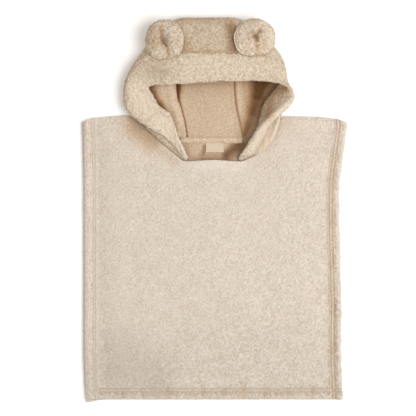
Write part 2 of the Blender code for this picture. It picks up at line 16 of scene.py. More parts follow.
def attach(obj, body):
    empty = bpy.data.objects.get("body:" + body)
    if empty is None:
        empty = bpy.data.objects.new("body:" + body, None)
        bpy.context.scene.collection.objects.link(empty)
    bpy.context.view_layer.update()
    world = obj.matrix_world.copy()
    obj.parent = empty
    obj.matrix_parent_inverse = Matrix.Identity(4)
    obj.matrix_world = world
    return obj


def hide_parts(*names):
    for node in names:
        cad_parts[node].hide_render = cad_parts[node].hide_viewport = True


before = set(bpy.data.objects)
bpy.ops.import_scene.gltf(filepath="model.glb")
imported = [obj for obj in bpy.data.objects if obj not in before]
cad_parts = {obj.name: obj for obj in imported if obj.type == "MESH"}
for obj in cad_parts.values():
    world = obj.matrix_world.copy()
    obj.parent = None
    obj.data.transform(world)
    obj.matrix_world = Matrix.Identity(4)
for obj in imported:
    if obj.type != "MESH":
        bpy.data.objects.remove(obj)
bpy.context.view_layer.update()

MM = 0.001
WALL = 3.0
DOWN = Vector((0, 0, -1))


def table(row_type, rows):
    """Rows of a table with named columns."""
    return [row_type(*row) for row in rows]


# ---- the part's tables

FRONT_BOTTOM = 3.7
HEM_RAISE = 1.2
HEM_SLOPE = 4.0
NECK_LIFT = 5.0
NECK_LIFT_PLACE = (-3.0, 100.0)
NECK_LIFT_SPREAD = (62.0, 45.0)
LEFT_CORNER_DROP = 6.0
CORNER_DROP_WIDTH = 26.0
SIDE_SHARE = 0.2  # the part of a panel's width that follows the outline of its side

PanelRow = namedtuple("PanelRow", "y left right")
BODY_SIDES = table(PanelRow, [
    (-401, -272, 270),
    (-365, -275, 268),
    (-300, -277, 266),
    (-200, -277, 267),
    (-100, -277, 264),
    (0, -277, 262),
    (60, -277, 263),
    (110, -278, 269),
    (150, -279, 275),
    (178, -280, 279),
    (197, -279, 276),
])
TopPoint = namedtuple("TopPoint", "x y")
SHOULDER_LEFT = table(TopPoint, [(-280, 186), (-262, 194), (-225, 198), (-190, 200), (-160, 199)])
SHOULDER_RIGHT = table(TopPoint, [(141, 198), (180, 198), (225, 197), (262, 192), (280, 183)])
BACK_NECK = table(TopPoint, [
    (-153.5, 194.5), (-145.1, 192.4), (-130.3, 183.6), (-113.3, 174), (-96.1, 164.7), (-77.2, 156),
    (-58.1, 147.7), (62.1, 147.7), (75.3, 154), (88.2, 160.7), (101.4, 170.4), (114.2, 180.7),
    (128.3, 191), (135.9, 193.5),
])
FRONT_NECK = table(TopPoint, [
    (-158.2, 195.7), (-157, 190.7), (-137.7, 162.8), (-107.8, 136), (-87, 118.6), (-66.1, 101.3),
    (58.4, 100.8), (87.3, 114.3), (113.1, 131.1), (128.6, 160.8), (138.1, 190.9), (139.5, 193.8),
])

StripRow = namedtuple("StripRow", "y z left right")
STRIP = table(StripRow, [
    (148, 1.5, -58, 62),
    (156, 1.5, -59, 60),
    (178, 1.5, -62, 55),
    (205, 1.5, -68, 48),
    (240, 1.5, -78, 43),
    (280, 1.5, -81, 41),
    (330, 1.5, -79, 42),
    (372, 1.8, -76, 43),
    (396, 7.5, -74, 44),
    (405.3, 20, -72, 45),
    (400, 33, -71, 45),
    (380, 39, -70, 45),
    (355, 41.5, -68, 45),
    (330, 43.5, -66, 44),
])
SideRow = namedtuple("SideRow", "floor_in floor_out fold_low fold_high turn band rim roll bulge")
LEFT_SIDE = table(SideRow, [
    ((-96, 165, 1.5), (-130, 184, 1.5), (-153, 198, 1.5), (-153, 193, 5.5),
     (-106, 138, 5.5), (-64, 104, 6.0), (-57, 110, 11), 3.5, 7),
    ((-97, 173, 1.5), (-131, 192, 1.5), (-157, 206, 2.6), (-157, 198, 9.5),
     (-111, 144, 9.5), (-71, 113, 10.0), (-61, 120, 17), 4, 8),
    ((-104, 188, 3.5), (-138, 206, 1.5), (-163, 213, 4.5), (-163, 204, 13.5),
     (-125, 160, 14.0), (-92, 141, 17.0), (-72, 145, 25), 4, 8),
    ((-112, 208, 6.5), (-148, 218, 1.5), (-174, 220, 6.0), (-174, 209, 16.5),
     (-149, 183, 18.5), (-125, 166, 23.0), (-84, 177, 31), 4, 8),
    ((-119, 236, 8.5), (-160, 234, 1.5), (-184, 230, 7.0), (-185, 217, 19.0),
     (-174, 199, 24.0), (-160, 188, 28.5), (-97, 206, 33), 4, 8),
    ((-121, 268, 9.0), (-166, 255, 1.5), (-188, 246, 8.0), (-190, 233, 19.0),
     (-189, 219, 26.0), (-181, 208, 29.5), (-117, 220, 33), 4, 8),
    ((-118, 312, 7.5), (-164, 286, 1.5), (-187, 268, 8.5), (-191, 256, 20.0),
     (-191, 243, 27.0), (-188, 232, 30.0), (-126, 234, 34), 4, 8),
    ((-112, 352, 5.0), (-152, 319, 2.0), (-176, 292, 10.0), (-186, 278, 21.0),
     (-189, 267, 28.5), (-188, 258, 31.5), (-134, 249, 35), 4, 8),
    ((-104, 378, 3.5), (-140, 347, 5.0), (-163, 318, 13.0), (-174, 302, 23.0),
     (-180, 289, 30.0), (-182, 279, 34.0), (-139, 259, 36), 4, 8),
    ((-98, 393, 14.0), (-127, 368, 13.0), (-147, 339, 19.0), (-159, 322, 27.0),
     (-167, 309, 33.0), (-170, 299, 37.0), (-134, 262, 38), 4, 8),
    ((-91, 389, 31.0), (-113, 367, 29.5), (-130, 346, 31.0), (-139, 334, 34.0),
     (-145, 323, 37.0), (-148, 314, 39.5), (-118, 263, 40), 4, 8),
    ((-82, 373, 38.5), (-95, 361, 38.5), (-105, 349, 38.8), (-111, 338, 39.5),
     (-115, 329, 40.3), (-118, 320.5, 41.0), (-99, 264, 42), 4, 8),
    ((-73, 352, 41.5), (-79, 347, 41.5), (-84, 341, 41.8), (-88, 335, 42.0),
     (-92, 331, 42.3), (-95, 324, 42.5), (-84, 265, 43), 4, 8),
    ((-68, 330.0, 43.4), (-70, 329.7, 43.4), (-72, 329.3, 43.3), (-74, 328.8, 43.3),
     (-76, 328.3, 43.2), (-79, 327.5, 43.1), (-72, 266, 43.5), 4, 8),
])
RIGHT_SIDE = table(SideRow, [
    ((88, 161, 1.5), (114, 181, 1.5), (135, 197, 1.5), (134, 192, 5.5),
     (111, 133, 5.5), (57, 104, 6.0), (50, 112, 12), 3.5, 7),
    ((89, 170, 1.5), (116, 190, 1.5), (139, 205, 2.6), (138, 197, 9.5),
     (112, 134, 9.5), (66, 110, 9.5), (57, 121, 20), 5, 11),
    ((92, 186, 1.5), (121, 204, 1.5), (144, 213, 4.5), (141, 203, 12.5),
     (111, 139, 13.0), (82, 121, 10.5), (70, 138, 33), 6, 17),
    ((92, 207, 1.5), (125, 216, 1.5), (148, 219, 5.0), (143, 209, 13.0),
     (111, 154, 14.0), (93, 143, 11.5), (88, 162, 47), 7, 20),
    ((90, 234, 1.5), (129, 231, 1.5), (152, 227, 5.0), (146, 216, 13.0),
     (115, 176, 14.0), (95, 168, 12.0), (113, 187, 55), 7, 20),
    ((90, 264, 1.5), (132, 249, 1.5), (156, 238, 5.0), (150, 226, 13.0),
     (122, 202, 13.5), (97, 194, 12.5), (136, 205, 58), 7, 18),
    ((92, 302, 1.5), (136, 272, 1.5), (159, 252, 5.0), (154, 240, 13.0),
     (128, 225, 13.5), (103, 220, 13.0), (156, 220, 57), 7, 15),
    ((90, 346, 1.5), (130, 306, 1.5), (152, 277, 5.5), (152, 264, 13.5),
     (136, 251, 15.0), (116, 242, 14.0), (168, 237, 55), 6.5, 13),
    ((84, 374, 3.5), (120, 336, 4.5), (144, 301, 9.0), (149, 285, 15.0),
     (144, 272, 17.5), (133, 261, 17.5), (165, 250, 53), 5.5, 11),
    ((78, 393, 14.0), (110, 364, 13.0), (134, 332, 16.0), (144, 315, 19.5),
     (147, 301, 22.5), (147, 287, 25.0), (153, 260, 51), 4.5, 9),
    ((70, 389, 31.0), (96, 368, 29.5), (116, 350, 30.0), (129, 337, 31.5),
     (139, 324, 33.0), (147, 310, 34.5), (138, 267, 49), 4, 8),
    ((60, 373, 38.5), (78, 361, 38.5), (94, 349, 38.8), (106, 339, 39.3),
     (115, 331, 40.0), (123, 322, 40.5), (116, 270, 48), 4, 8),
    ((53, 352, 41.5), (61, 347, 41.5), (69, 342, 41.8), (76, 337, 42.0),
     (81, 333, 42.3), (85, 328, 42.8), (84, 272, 47), 4, 8),
    ((46, 330.2, 43.5), (48, 330.3, 43.4), (50, 330.3, 43.4), (52, 330.2, 43.4),
     (54, 330.1, 43.3), (57, 330.0, 43.3), (57, 272, 46), 4, 8),
])
RIM_MIDDLE = (-6, 271, 46)
BAND_MIDDLE_RISE = 2.5
BAND_MIDDLE_BACK = 2.0
ARCH_START = 0.7
BAND_BASE_THICK = 3.6

# ---- the scene's own sizes

STEP = 2.4  # spacing of the front panel's mesh, about one loop of pile
BACK_STEP = 3.4
HOOD_STEP = 1.9
TRIM_STEP = 1.2
BORDER_STEPS = (0.0, 0.5, 1.2, 2.2, 3.6)  # closer rows next to a border
PANEL_LENGTH = 600.0
TOP_SOFTENING = np.array([1, 2, 3, 2, 1]) / 9  # weights that smooth a panel's top edge
UNDERSIDE_SKIP = 3  # the front panel's hidden face keeps one point in three each way
FLOOR_GAP = 0.05

# How uneven the pile is, in each piece: single loops, curls of several loops, broad swells, and the
# size of a curl
Pile = namedtuple("Pile", "loops curls swells curl_size")
BODY_PILE = Pile(0.4, 0.5, 0.35, 3.2)
FLAT_PILE = Pile(0.2, 0.1, 0.1, 3.8)
HOOD_PILE = Pile(0.42, 0.75, 0.6, 4.0)
INNER_PILE = Pile(0.32, 0.4, 0.5, 3.8)
BAND_PILE = Pile(0.6, 1.45, 1.2, 4.4)
EAR_PILE = Pile(0.65, 2.0, 1.5, 4.4)
TAPE_PILE = Pile(0.35, 0.6, 0.4, 3.8)
NO_PILE = Pile(0, 0, 0, 3.8)
SWELL_SIZE = 26.0
SIDEWAYS = 0.5  # how far loops lean aside, as a share of their height
NAP_LEVEL = 0.5  # the height of the pile as a share, and what loops, curls and swells change in it
NAP_LOOPS = 0.2
NAP_CURLS = 0.6
NAP_SWELLS = 0.05
LOW_VIGOUR = 0.6  # the body's pile is curlier towards its lower right corner
VIGOUR_FROM = 60.0
VIGOUR_FADE = 350.0
HEM_VIGOUR = 0.6

# Where the random draws of a piece start, for each of its faces that has its own
SEEDS = {
    "hood_strip": (11, 51), "hood_left": (12, 52), "hood_right": (13, 53), "face_band": (7,),
    "back_panel": (21, 24), "front_panel": (22, 25), "ear_left_cloth": (31, 32),
    "ear_right_cloth": (32, 33), "tape": (41,), "blank_label": (42,),
}
SEED_SPACING = 17.3  # how far apart the noise of two seeds is read
RIM_SEED = 50
CRINKLE_SEED = 60

# Warm painted shade, where the garment's solids shut a place in: the pile's colour is darkened and warmed
# there
RAY_COUNT = 28
RAY_START = 4.0
RAY_REACH = 110.0
RAY_SKIP = 6
WARM_SHADE_TINTS = [  # how painted shade changes the pile's colour, from the open to the deepest shade
    (0.0, (1.0, 1.0, 1.0)),
    (0.25, (0.83, 0.71, 0.59)),
    (0.6, (0.50, 0.36, 0.255)),
    (1.0, (0.20, 0.115, 0.06)),
]
BAND_SHARE = 0.3  # how strongly being shut in darkens a piece with painted shade
FRONT_SHARE = 0.35
BACK_SHARE = 0.65
BACK_DARKEST = 0.3
# painted shade on the neck tape and label, which lie under the hood
TRIM_PAINTED_SHADE = 0.12
SHADED_FROM = 60.0  # the body panels are in the open below this line
SHADE_SOFTENING = 4

# How much the curls and the height of the pile change its colour, and the level between them
CURL_CONTRAST = 2.0
NAP_CONTRAST = 0.7
PILE_LEVEL = 0.6

# Hood: steps between two rows and two columns of its tables, then its edges and seams
STATION_STEPS = 10
SIDE_STEPS = 10
STRIP_COLUMNS = 40
NORMAL_SOFTENING = 2
EDGE_ROUND = 3.0  # radius over which a free edge rounds off
EDGE_START = 0.25  # and what is left at the edge itself
SEAM_ROUND = 3.5  # radius of a sewn edge
# painted shade along the sewn seams
SEAM_DARK = 0.25
SEAM_DARK_WIDTH = 2.4
SEAM_CREASE = 1.1
SEAM_CREASE_WIDTH = 1.6
WELT_PLACE = 4.5  # the seam's allowance swells the inside beside it
WELT_WIDTH = 2.6
# Depth of the groove outside and height of the welt inside, at a panel's first and last row, where
# it is under another piece, and at its first and last column
HOOD_SEAMS = ((0.4, 0.0), (0.4, 0.0), (1.0, 0.9), (1.0, 0.9))

BAND_TABLE_STEPS = 2
BAND_STRIP_COLUMNS = 6
BAND_STEPS = 8
BAND_ACROSS = 40
BAND_SOFTENING = 14
BAND_PUFF = 0.55  # a low power makes the band swell close to its seam
BAND_SEAM_PINCH = 0.5
NOSE_STEPS = 8
RIM_WAVES = ((1.8, 40.0), (0.9, 14.0))  # height and length of the waves in the band's rim

# Soft rolls inside the hood beside its long seams, leaning over them, and shade painted in the groove
# between a roll and its seam
Ridge = namedtuple("Ridge", "at_last place width height lean low high fade dark")
LEFT_RIDGES = [Ridge(False, 15, 9.0, 5.5, 1.5, 165, 330, 30, 0.0)]
RIGHT_RIDGES = [
    Ridge(False, 8, 4.5, 3.5, 1.5, 165, 320, 30, 0.12),
    Ridge(False, 26, 7.0, 3.0, 0.0, 195, 320, 30, 0.0),
]
RIDGE_DARK_PLACE = 1.5
RIDGE_DARK_WIDTH = 0.5  # as a share of the roll's own place

# Places along a line from start to end, seen in plan. Most paint shade into the pile's colour, and the
# ones that raise the pile's height paint light. Inside the hood and at the neck they reach up to
# POCKET_LEVEL only.
Pocket = namedtuple("Pocket", "start end start_width end_width strength")
POCKET_LEVEL = 14.0
POCKET_FADE = 4.0
TOP_LEVEL = 100.0
# Painted shade along the strip's left seam, where the side panel lies over it
STRIP_PAINTED_SHADE = table(Pocket, [
    ((-77, 270), (-78, 236), 8, 5.0, 1.0),
    ((-78, 236), (-64, 180), 4.5, 3.0, 0.85),
    ((-64, 180), (-57, 152), 3.0, 2.0, 0.5),
])
# Painted shade in the left side panel, beside the seam and under the band's inner edge
LEFT_PAINTED_SHADE = table(Pocket, [
    ((-80, 270), (-78, 226), 3.5, 0.3, 1.0),
    ((-138, 262), (-120, 225), 12, 8, 0.72),
    ((-118, 225), (-103, 208), 9, 5, 0.9),
    ((-104, 208), (-82, 168), 7, 4, 0.45),
])
# Painted shade in the valley under the right side of the band
RIGHT_PAINTED_SHADE = table(Pocket, [
    ((98, 270), (90, 240), 24, 18, 1.0),
    ((90, 240), (80, 205), 19, 13, 0.8),
    ((80, 205), (64, 160), 14, 6, 0.55),
])
# Painted shade on the back panel inside the neck: round the label and under the hood's right side
NECK_PAINTED_SHADE = table(Pocket, [
    ((-58, 136), (56, 136), 40, 40, 0.2),
    ((-26, 117), (28, 117), 14, 14, 0.34),
    ((-24, 119), (-22, 136), 7, 5, 0.6),
    ((24, 117), (50, 138), 12, 16, 0.8),
])
# Painted shade outside the hood: beside both ears, along the crown's top, in the folds by the right side
# and under the band's upper edge
OUTER_PAINTED_SHADE = table(Pocket, [
    ((34, 388), (42, 342), 12, 16, 0.38),
    ((-66, 368), (-60, 340), 8, 14, 0.22),
    ((-64, 402), (30, 402), 12, 12, 0.12),
    ((100, 160), (104, 126), 3, 2.5, 0.2),
    ((122, 168), (110, 127), 3, 2.5, 0.14),
    ((-60, 335), (40, 335), 4, 4, 0.2),
])
# Painted light on the right side panel's outside, between the band and the shoulder
OUTER_PAINTED_LIGHT = [Pocket((136, 192), (108, 138), 16, 14, 0.7)]
# Painted shade on the left ear's left lobe
EAR_PAINTED_SHADE = [Pocket((-136, 378), (-128, 348), 12, 12, 0.2)]
# Painted shade on the band's upper left and on the inner face of its right side
BAND_PAINTED_SHADE = table(Pocket, [
    ((-136, 300), (-104, 290), 22, 18, 0.08),
    ((124, 248), (112, 200), 15, 11, 0.4),
    ((150, 256), (134, 246), 8, 13, 0.42),
])
# Painted light on the band: its left corner and arm, the right rim and the inner face of its right side
BAND_PAINTED_LIGHT = table(Pocket, [
    ((-165, 250), (-140, 215), 26, 22, 0.35),
    ((-115, 180), (-66, 112), 20, 16, 0.6),
    ((150, 226), (74, 122), 9, 9, 0.5),
    ((130, 240), (112, 200), 15, 12, 0.65),
    ((114, 200), (92, 165), 16, 12, 0.45),
])
# Painted shadow of the hood's left side on the front panel
FRONT_PAINTED_SHADE = table(Pocket, [
    ((-164, 176), (-130, 146), 26, 22, 0.34),
    ((-130, 146), (-84, 102), 22, 8, 0.12),
])

# Grey shade painted into each piece: towards the front panel's lower left, along its edges and hems,
# on the band's upper left, over the strip and beside the right ear, inside the right side and on the left
# ear
SHADES = {
    "front_panel": table(Pocket, [
        ((-200, -330), (-120, -350), 80, 60, 0.18),
        ((-200, -330), (200, -330), 90, 90, 0.07),
        ((-265, -378), (262, -378), 26, 26, 0.1),
        ((-277, -390), (-279, 185), 4.5, 4.5, 0.3),
        ((-242, -376), (-243, 180), 9, 9, 0.06),
        ((256, -190), (258, -392), 3.5, 4.5, 0.16),
    ]),
    "face_band": [Pocket((-136, 300), (-104, 290), 24, 20, 0.15)],
    "hood_strip": table(Pocket, [
        ((-15, 160), (-15, 340), 70, 70, 0.1),
        ((36, 384), (42, 342), 13, 17, 0.32),
    ]),
    "hood_right": [Pocket((80, 160), (110, 300), 40, 40, 0.07)],
    "ear_left_cloth": [Pocket((-130, 375), (-85, 350), 40, 40, 0.08)],
}

# The panels of the hood: whether their columns run the other way, how strongly painted shade darkens
# the inside and the outside where they are shut in, the soft rolls inside and the places of painted shade
HoodPanel = namedtuple("HoodPanel", "name node flip shading ridges pockets")
HOOD_PANELS = table(HoodPanel, [
    ("hood_strip", "hood_centre", False, (0.84, 0.4), (), STRIP_PAINTED_SHADE),
    ("hood_left", "hood_side_left", True, (0.0, 0.2), LEFT_RIDGES, LEFT_PAINTED_SHADE),
    ("hood_right", "hood_side_right", False, (0.6, 0.0), RIGHT_RIDGES, RIGHT_PAINTED_SHADE),
])

# Hems: the places of the twin stitching from the edge, how crinkled a hem is outside its stitching,
# how much the stitching shows, and how much light is painted into the pile from one place to another
Hem = namedtuple("Hem", "width stitches crinkle mark brush brush_from brush_to")
LEFT_HEM = Hem(29.0, (19.8, 24.3), 0.25, 0.75, 0.4, 8.0, 28.0)
RIGHT_HEM = Hem(23.0, (13.5, 19.5), 1.0, 1.9, 0.35, -3.0, 8.0)
BOTTOM_HEM = Hem(24.0, (15.8, 22.2), 0.9, 1.1, 0.0, 0.0, 0.0)
PAINTED_LIGHT_FADE = 3.0
HEM_SHARE = 0.8  # how far the hem of the panel below lifts the one above
HEM_ZONE = 32.0
HEM_STEP = 1.3
STITCH_GROOVE = 0.9
STITCH_WIDTH = 1.4
STITCH_PAINTED_SHADE = 0.7  # painted shade along the stitching: the pile's colour goes towards its darker roots
# more painted shade along the stitching
STITCH_DARK = 0.14
CRINKLE_SIZE = 6.0
CRINKLE_STRETCH = (1.0, 0.7, 1.0)
CRINKLE_HEIGHT = 1.6
# painted shade in the troughs of the crinkles
CRINKLE_LOW = 1.8
CRINKLE_DARK = 0.12
CRINKLE_FADE = 9.0
TROUGH_PLACE = 4.2  # the hem sinks in just outside its stitching
TROUGH_WIDTH = 2.4
TROUGH_DEPTH = 1.1
# painted shade in that trough
TROUGH_LOW = 1.1
EDGE_FLUFF = 2.2  # the pile at the right hem stands out beyond the solid
EDGE_FLUFF_WIDTH = 8.0

# Stitches: a spindle's rings, as their place along it and their radius, both as shares
STITCH_LENGTH = 3.0
STITCH_PAUSE = 0.9
STITCH_THICK = 0.7
STITCH_SPREAD = 2  # a stitch is this much wider than it is thick
STITCH_RISE = 0.25
STITCH_START = 1.0
STITCH_PROBE = 200.0
SPINDLE = ((0.0, 0.15), (0.25, 0.5), (0.75, 0.5), (1.0, 0.15))
SPINDLE_SIDES = 6
ROW_LOW_END = 9.0  # where the side hems' stitching starts above the bottom edge, and where it ends
ROW_TOP = 186.0
SIDE_ROW_POINTS = 80
LOW_ROW_POINTS = 60

# Rolled edge of the front neckline
NECK_ROLL = 2.6
NECK_ROLL_WIDTH = 6.0
NECK_ROLL_OUT = 5.2
NECK_ROLL_LIGHT = 14.0
NECK_HALF = 56.0
NECK_EDGE = 0.9  # a panel's top edge is rounded less than the others, and least where it is sewn
SEWN_EDGE = 1.7
SEAM_CLOSING = 1.9  # the pile of the front panel meets the hood's over the seam
SEAM_FADE = 12.0
NECK_PAINTED_LIGHT = 0.45  # painted light along the neckline: the pile's colour goes towards its light tips
NECK_PAINTED_LIGHT_WIDTH = 26.0

# Soft troughs and ridges of the front panel, from start to end, with shade painted in the troughs, and the
# broad swells under them
BodyFold = namedtuple("BodyFold", "start end height width dark")
BODY_FOLDS = table(BodyFold, [
    ((-236, -370), (-238, 150), -1.0, 12, 0.01),
    ((-205, -360), (-208, 120), 1.2, 26, 0.0),
    ((232, -370), (236, 160), -0.8, 10, 0.01),
    ((-101, -396), (-99, -374), -1.4, 6, 0.1),
    ((-24, -394), (-27, -372), -1.4, 5, 0.1),
    ((60, -396), (57, -370), -1.6, 6, 0.12),
    ((-198, -392), (-194, -378), -1.0, 5, 0.07),
    ((-150, -394), (-154, -380), -1.1, 5, 0.09),
    ((18, -394), (22, -380), -1.0, 5, 0.07),
    ((104, -395), (108, -376), -1.2, 6, 0.09),
    ((158, -394), (155, -378), -1.1, 5, 0.09),
    ((206, -395), (210, -376), -1.2, 6, 0.1),
    ((246, -300), (252, -286), -1.2, 6, 0.09),
    ((246, -212), (250, -196), -1.1, 6, 0.07),
    ((245, -120), (250, -104), -1.2, 6, 0.09),
    ((244, -30), (249, -14), -1.1, 6, 0.07),
    ((248, 64), (252, 80), -1.0, 6, 0.07),
])
BodySwell = namedtuple("BodySwell", "height length stretch seed")
BODY_SWELLS = table(BodySwell, [
    (0.9, 95.0, (1.0, 0.6, 1.0), 3),
    (0.5, 42.0, (1.0, 1.0, 1.0), 4),
])

# Ears: their place, size and tilt, and the creases in their fronts, each steeper on its left and with shade
# painted along it
Ear = namedtuple("Ear", "name x y width height lean turn creases")
Crease = namedtuple("Crease", "start end depth steep gentle dark")
EARS = [
    Ear("ear_left", -105, 361, 82, 83, -2, 4, table(Crease, [
        ((-9, 22), (-7, -4), 5.0, 3.6, 21, 0.4),
        ((-7, -4), (1, -15), 3.6, 3.2, 17, 0.6),
        ((1, -15), (4, -38), 3.0, 3.0, 9, 0.3),
    ])),
    Ear("ear_right", 84.5, 365, 88, 78, -2, 3, table(Crease, [
        ((13, 14), (2, 5), 4.0, 2.5, 8, 0.44),
        ((-6, 10), (2, 3), 3.0, 2.5, 7, 0.3),
        ((2, 3), (3, -8), 2.2, 3.0, 12, 0.52),
        ((3, -8), (4, -34), 4.0, 3.5, 9, 0.26),
        ((18, -8), (15, -28), 3.5, 3.5, 6, 0.14),
    ])),
]
EAR_FRONT = 16.0
EAR_BACK = 9.0
EAR_SINK = 9.0  # how far the hood presses into an ear's back
EAR_LEAST = 4.0  # the least that an ear is thick
EAR_TOP_POWER = 2.0  # a higher power makes an outline squarer
EAR_BASE_POWER = 3.0
EAR_CROWN_POWERS = (2.6, 0.55)
EAR_RINGS = 30
EAR_SIDES = 150
EAR_GAP = 0.4
EAR_PROBE = 5.0
EAR_PROBE_HEIGHT = 150.0
CREASE_FADE = 1.6  # a crease is shallower near the ear's rim
# where the shade painted along a crease lies
CREASE_DARK_PLACE = 1.0
CREASE_DARK_MARGIN = 1.2
DOWNWARD = -0.2  # a normal that points lower than this is turned over

# Neck tape and label, from their lower left corner. The label's upper end is under the tape.
SEAM_Y = STRIP[0].y
TRIM_ROUND = 1.2
TRIM_EDGE_START = 0.15
# painted shade at the trims' edges and grooves
TRIM_EDGE_DARK = 0.14
TRIM_DARK_WIDTH = 1.5
GROOVE_DEPTH = 0.35  # as a share of the thickness
GROOVE_WIDTH = 0.9
TAPE_WIDTH = 13.0
TAPE_STITCH = 2.2  # from the tape's long edges
TAPE_STITCH_END = 2.0
Trim = namedtuple("Trim", "name x y rise size grooves curl pile")
TAPE = Trim("tape", -72.0, SEAM_Y - TAPE_WIDTH / 2, 0.4, (131.0, TAPE_WIDTH, 1.8),
            (TAPE_STITCH, TAPE_WIDTH - TAPE_STITCH), 0.0, TAPE_PILE)
LABEL = Trim("blank_label", -18.5, TAPE.y - 19.2, 0.9, (38.0, 20.2, 1.0), (), 1.5, NO_PILE)

HOOD_NODES = ("hood_centre", "hood_side_left", "hood_side_right", "hood_band")
SHADING_NODES = (*HOOD_NODES, "body_front", "ear_left", "ear_right")

# Materials: colours of the tips and roots of the pile, size of a loop, height of the relief, sheen
Towel = namedtuple("Towel", "name tips roots loop relief sheen")
TOWELS = table(Towel, [
    ("body_towelling", (0.77, 0.698, 0.615), (0.535, 0.443, 0.35), 2.6, 2.2, 0.1),
    # The hood's outside is the body's towelling in a darker, warmer colour: painted shade
    ("hood_towelling", (0.795, 0.665, 0.53), (0.385, 0.275, 0.17), 3.0, 2.8, 0.06),
    # The hood's lining is the body's towelling in a darker, warmer colour: painted shade
    ("hood_lining_side", (0.73, 0.588, 0.446), (0.49, 0.36, 0.24), 2.8, 1.8, 0.2),
    ("band_towelling", (0.815, 0.70, 0.57), (0.445, 0.34, 0.235), 3.0, 2.6, 0.06),
    ("ear_towelling", (0.84, 0.725, 0.605), (0.45, 0.335, 0.22), 3.5, 2.8, 0.08),
    ("tape_towelling", (0.78, 0.68, 0.56), (0.50, 0.39, 0.28), 2.6, 1.2, 0.15),
])
Weave = namedtuple("Weave", "name colour thread")
WEAVES = table(Weave, [
    ("thread", (0.70, 0.60, 0.48), 0.4),
    # the label's colour is darker and warmer than its own: painted shade of the hood above it
    ("label_weave", (0.70, 0.58, 0.43), 0.5),
])
SKIN_LAYERS = ("pile_tone", "warm_painted_shade", "shade")  # the pile's height with painted light and shade; warm and grey painted shade
TOWEL_LOOKS = {
    "Roughness": 0.92, "Specular IOR Level": 0.15, "Sheen Roughness": 0.45,
    "Sheen Tint": (1.0, 0.96, 0.9, 1),
}
CURL_NOISE = {"Detail": 3.0, "Roughness": 0.6, "Distortion": 0.8}
FIBRE_NOISE = {"Detail": 2.0, "Roughness": 0.6}
FIBRES = 4.2  # in the length of a loop
FIBRE_RELIEF = 0.35
PATCH_NOISE = {"Scale": 28.0, "Detail": 2.0, "Roughness": 0.5}
PATCH_TINTS = (0.35, 0.65, 0.98, 1.02)  # from this range of the noise to this one of brightness
TOWEL_BUMP = 0.9
WEAVE_LOOKS = {"Roughness": 0.8, "Sheen Weight": 0.15}
WEAVE_NOISE = {"Distortion": 0.4, "Detail": 1.0}
WEAVE_WAVES = 0.5  # in the width of a thread
WEAVE_GAPS = 0.8  # brightness between the threads
WEAVE_BUMP = 0.5
WEAVE_RELIEF = 0.2

# Stage. The lights' distance and size and the floor's size are in metres.
CAMERA_HEIGHT = 12000.0
SENSOR_WIDTH = 36.0
VIEW_WIDTH = 882.0
VIEW_CENTRE = (-13.8, 4.2)
Light = namedtuple("Light", "name way distance size power")
LIGHTS = table(Light, [
    ("key", (0.5, -0.05, 0.87), 3.2, 2.8, 97.5),
    ("fill", (-0.5, 0.1, 0.85), 3.0, 2.5, 14.0),
])
WORLD_LIGHT = 0.44
WORLD_COLOUR = (1.0, 0.93, 0.84, 1)
FLOOR_SIZE = 8
FLOOR_CELLS = 4
FLOOR_LOOKS = {  # the table glows a little, so that it shows as plain white
    "Base Color": (0.93, 0.93, 0.93, 1), "Roughness": 0.9, "Specular IOR Level": 0.1,
    "Emission Color": (1, 1, 1, 1), "Emission Strength": 0.09,
}

# ---- curves and grids


def curve(stops, steps):
    """A smooth path through the stops, with this many steps between two of them."""
    stops = np.array(stops, float)
    gaps = np.maximum(np.linalg.norm(np.diff(stops, axis=0), axis=1), 1e-6)[:, None]
    slopes = np.diff(stops, axis=0) / gaps
    inner = (slopes[1:] * gaps[:-1] + slopes[:-1] * gaps[1:]) / (gaps[:-1] + gaps[1:])
    tangents = np.concatenate([slopes[:1], inner, slopes[-1:]])
    t = (np.arange(1, steps + 1) / steps)[:, None]
    path = [stops[:1]]
    weights = (2 * t**3 - 3 * t**2 + 1, t**3 - 2 * t**2 + t, 3 * t**2 - 2 * t**3, t**3 - t**2)
    for i, gap in enumerate(gaps):
        parts = (stops[i], tangents[i] * gap, stops[i + 1], tangents[i + 1] * gap)
        path.append(sum(part * weight for part, weight in zip(parts, weights)))
    return np.concatenate(path)


def marks_along(length, step):
    """Places along a length: even ones about a step apart, closer together at both ends."""
    ends = [mark for mark in BORDER_STEPS if mark < length / 2 - step / 2]
    first, last = ends[-1], length - ends[-1]
    count = max(1, round((last - first) / step))
    middle = np.linspace(first, last, count + 1)[1:-1]
    return np.concatenate([ends, middle, [length - mark for mark in reversed(ends)]])


def evened(grid, step):
    """The grid with its rows and columns spaced about a step apart."""
    for axis in (0, 1):
        lengths = np.linalg.norm(np.diff(grid[..., :3], axis=axis), axis=2).mean(axis=1 - axis)
        along = np.concatenate([[0], np.cumsum(lengths)])
        at = np.interp(marks_along(along[-1], step), along, np.arange(len(along)))
        low = np.minimum(at.astype(int), len(along) - 2)
        part = (at - low)[:, None, None] if axis == 0 else (at - low)[None, :, None]
        before, after = np.take(grid, low, axis=axis), np.take(grid, low + 1, axis=axis)
        grid = before + (after - before) * part
    return grid


def grid_of(x, y, z):
    """A grid of points from its coordinates, any of which may be one value for all."""
    return np.stack(np.broadcast_arrays(x, y, z), axis=-1)


def unit(vectors):
    return vectors / np.maximum(np.linalg.norm(vectors, axis=-1, keepdims=True), 1e-9)


def grid_normals(grid):
    """The side that is seen with the columns to the right and the rows upwards."""
    return unit(np.cross(np.gradient(grid, axis=1), np.gradient(grid, axis=0)))


def softened(values, times):
    """Values of a grid, each averaged with its neighbours this many times."""
    for _ in range(times):
        for axis in (0, 1):
            last = values.shape[axis] - 1
            index = np.arange(last + 1)
            low, high = (np.take(values, np.clip(index + k, 0, last), axis=axis) for k in (-1, 1))
            values = (low + 2 * values + high) / 4
    return values


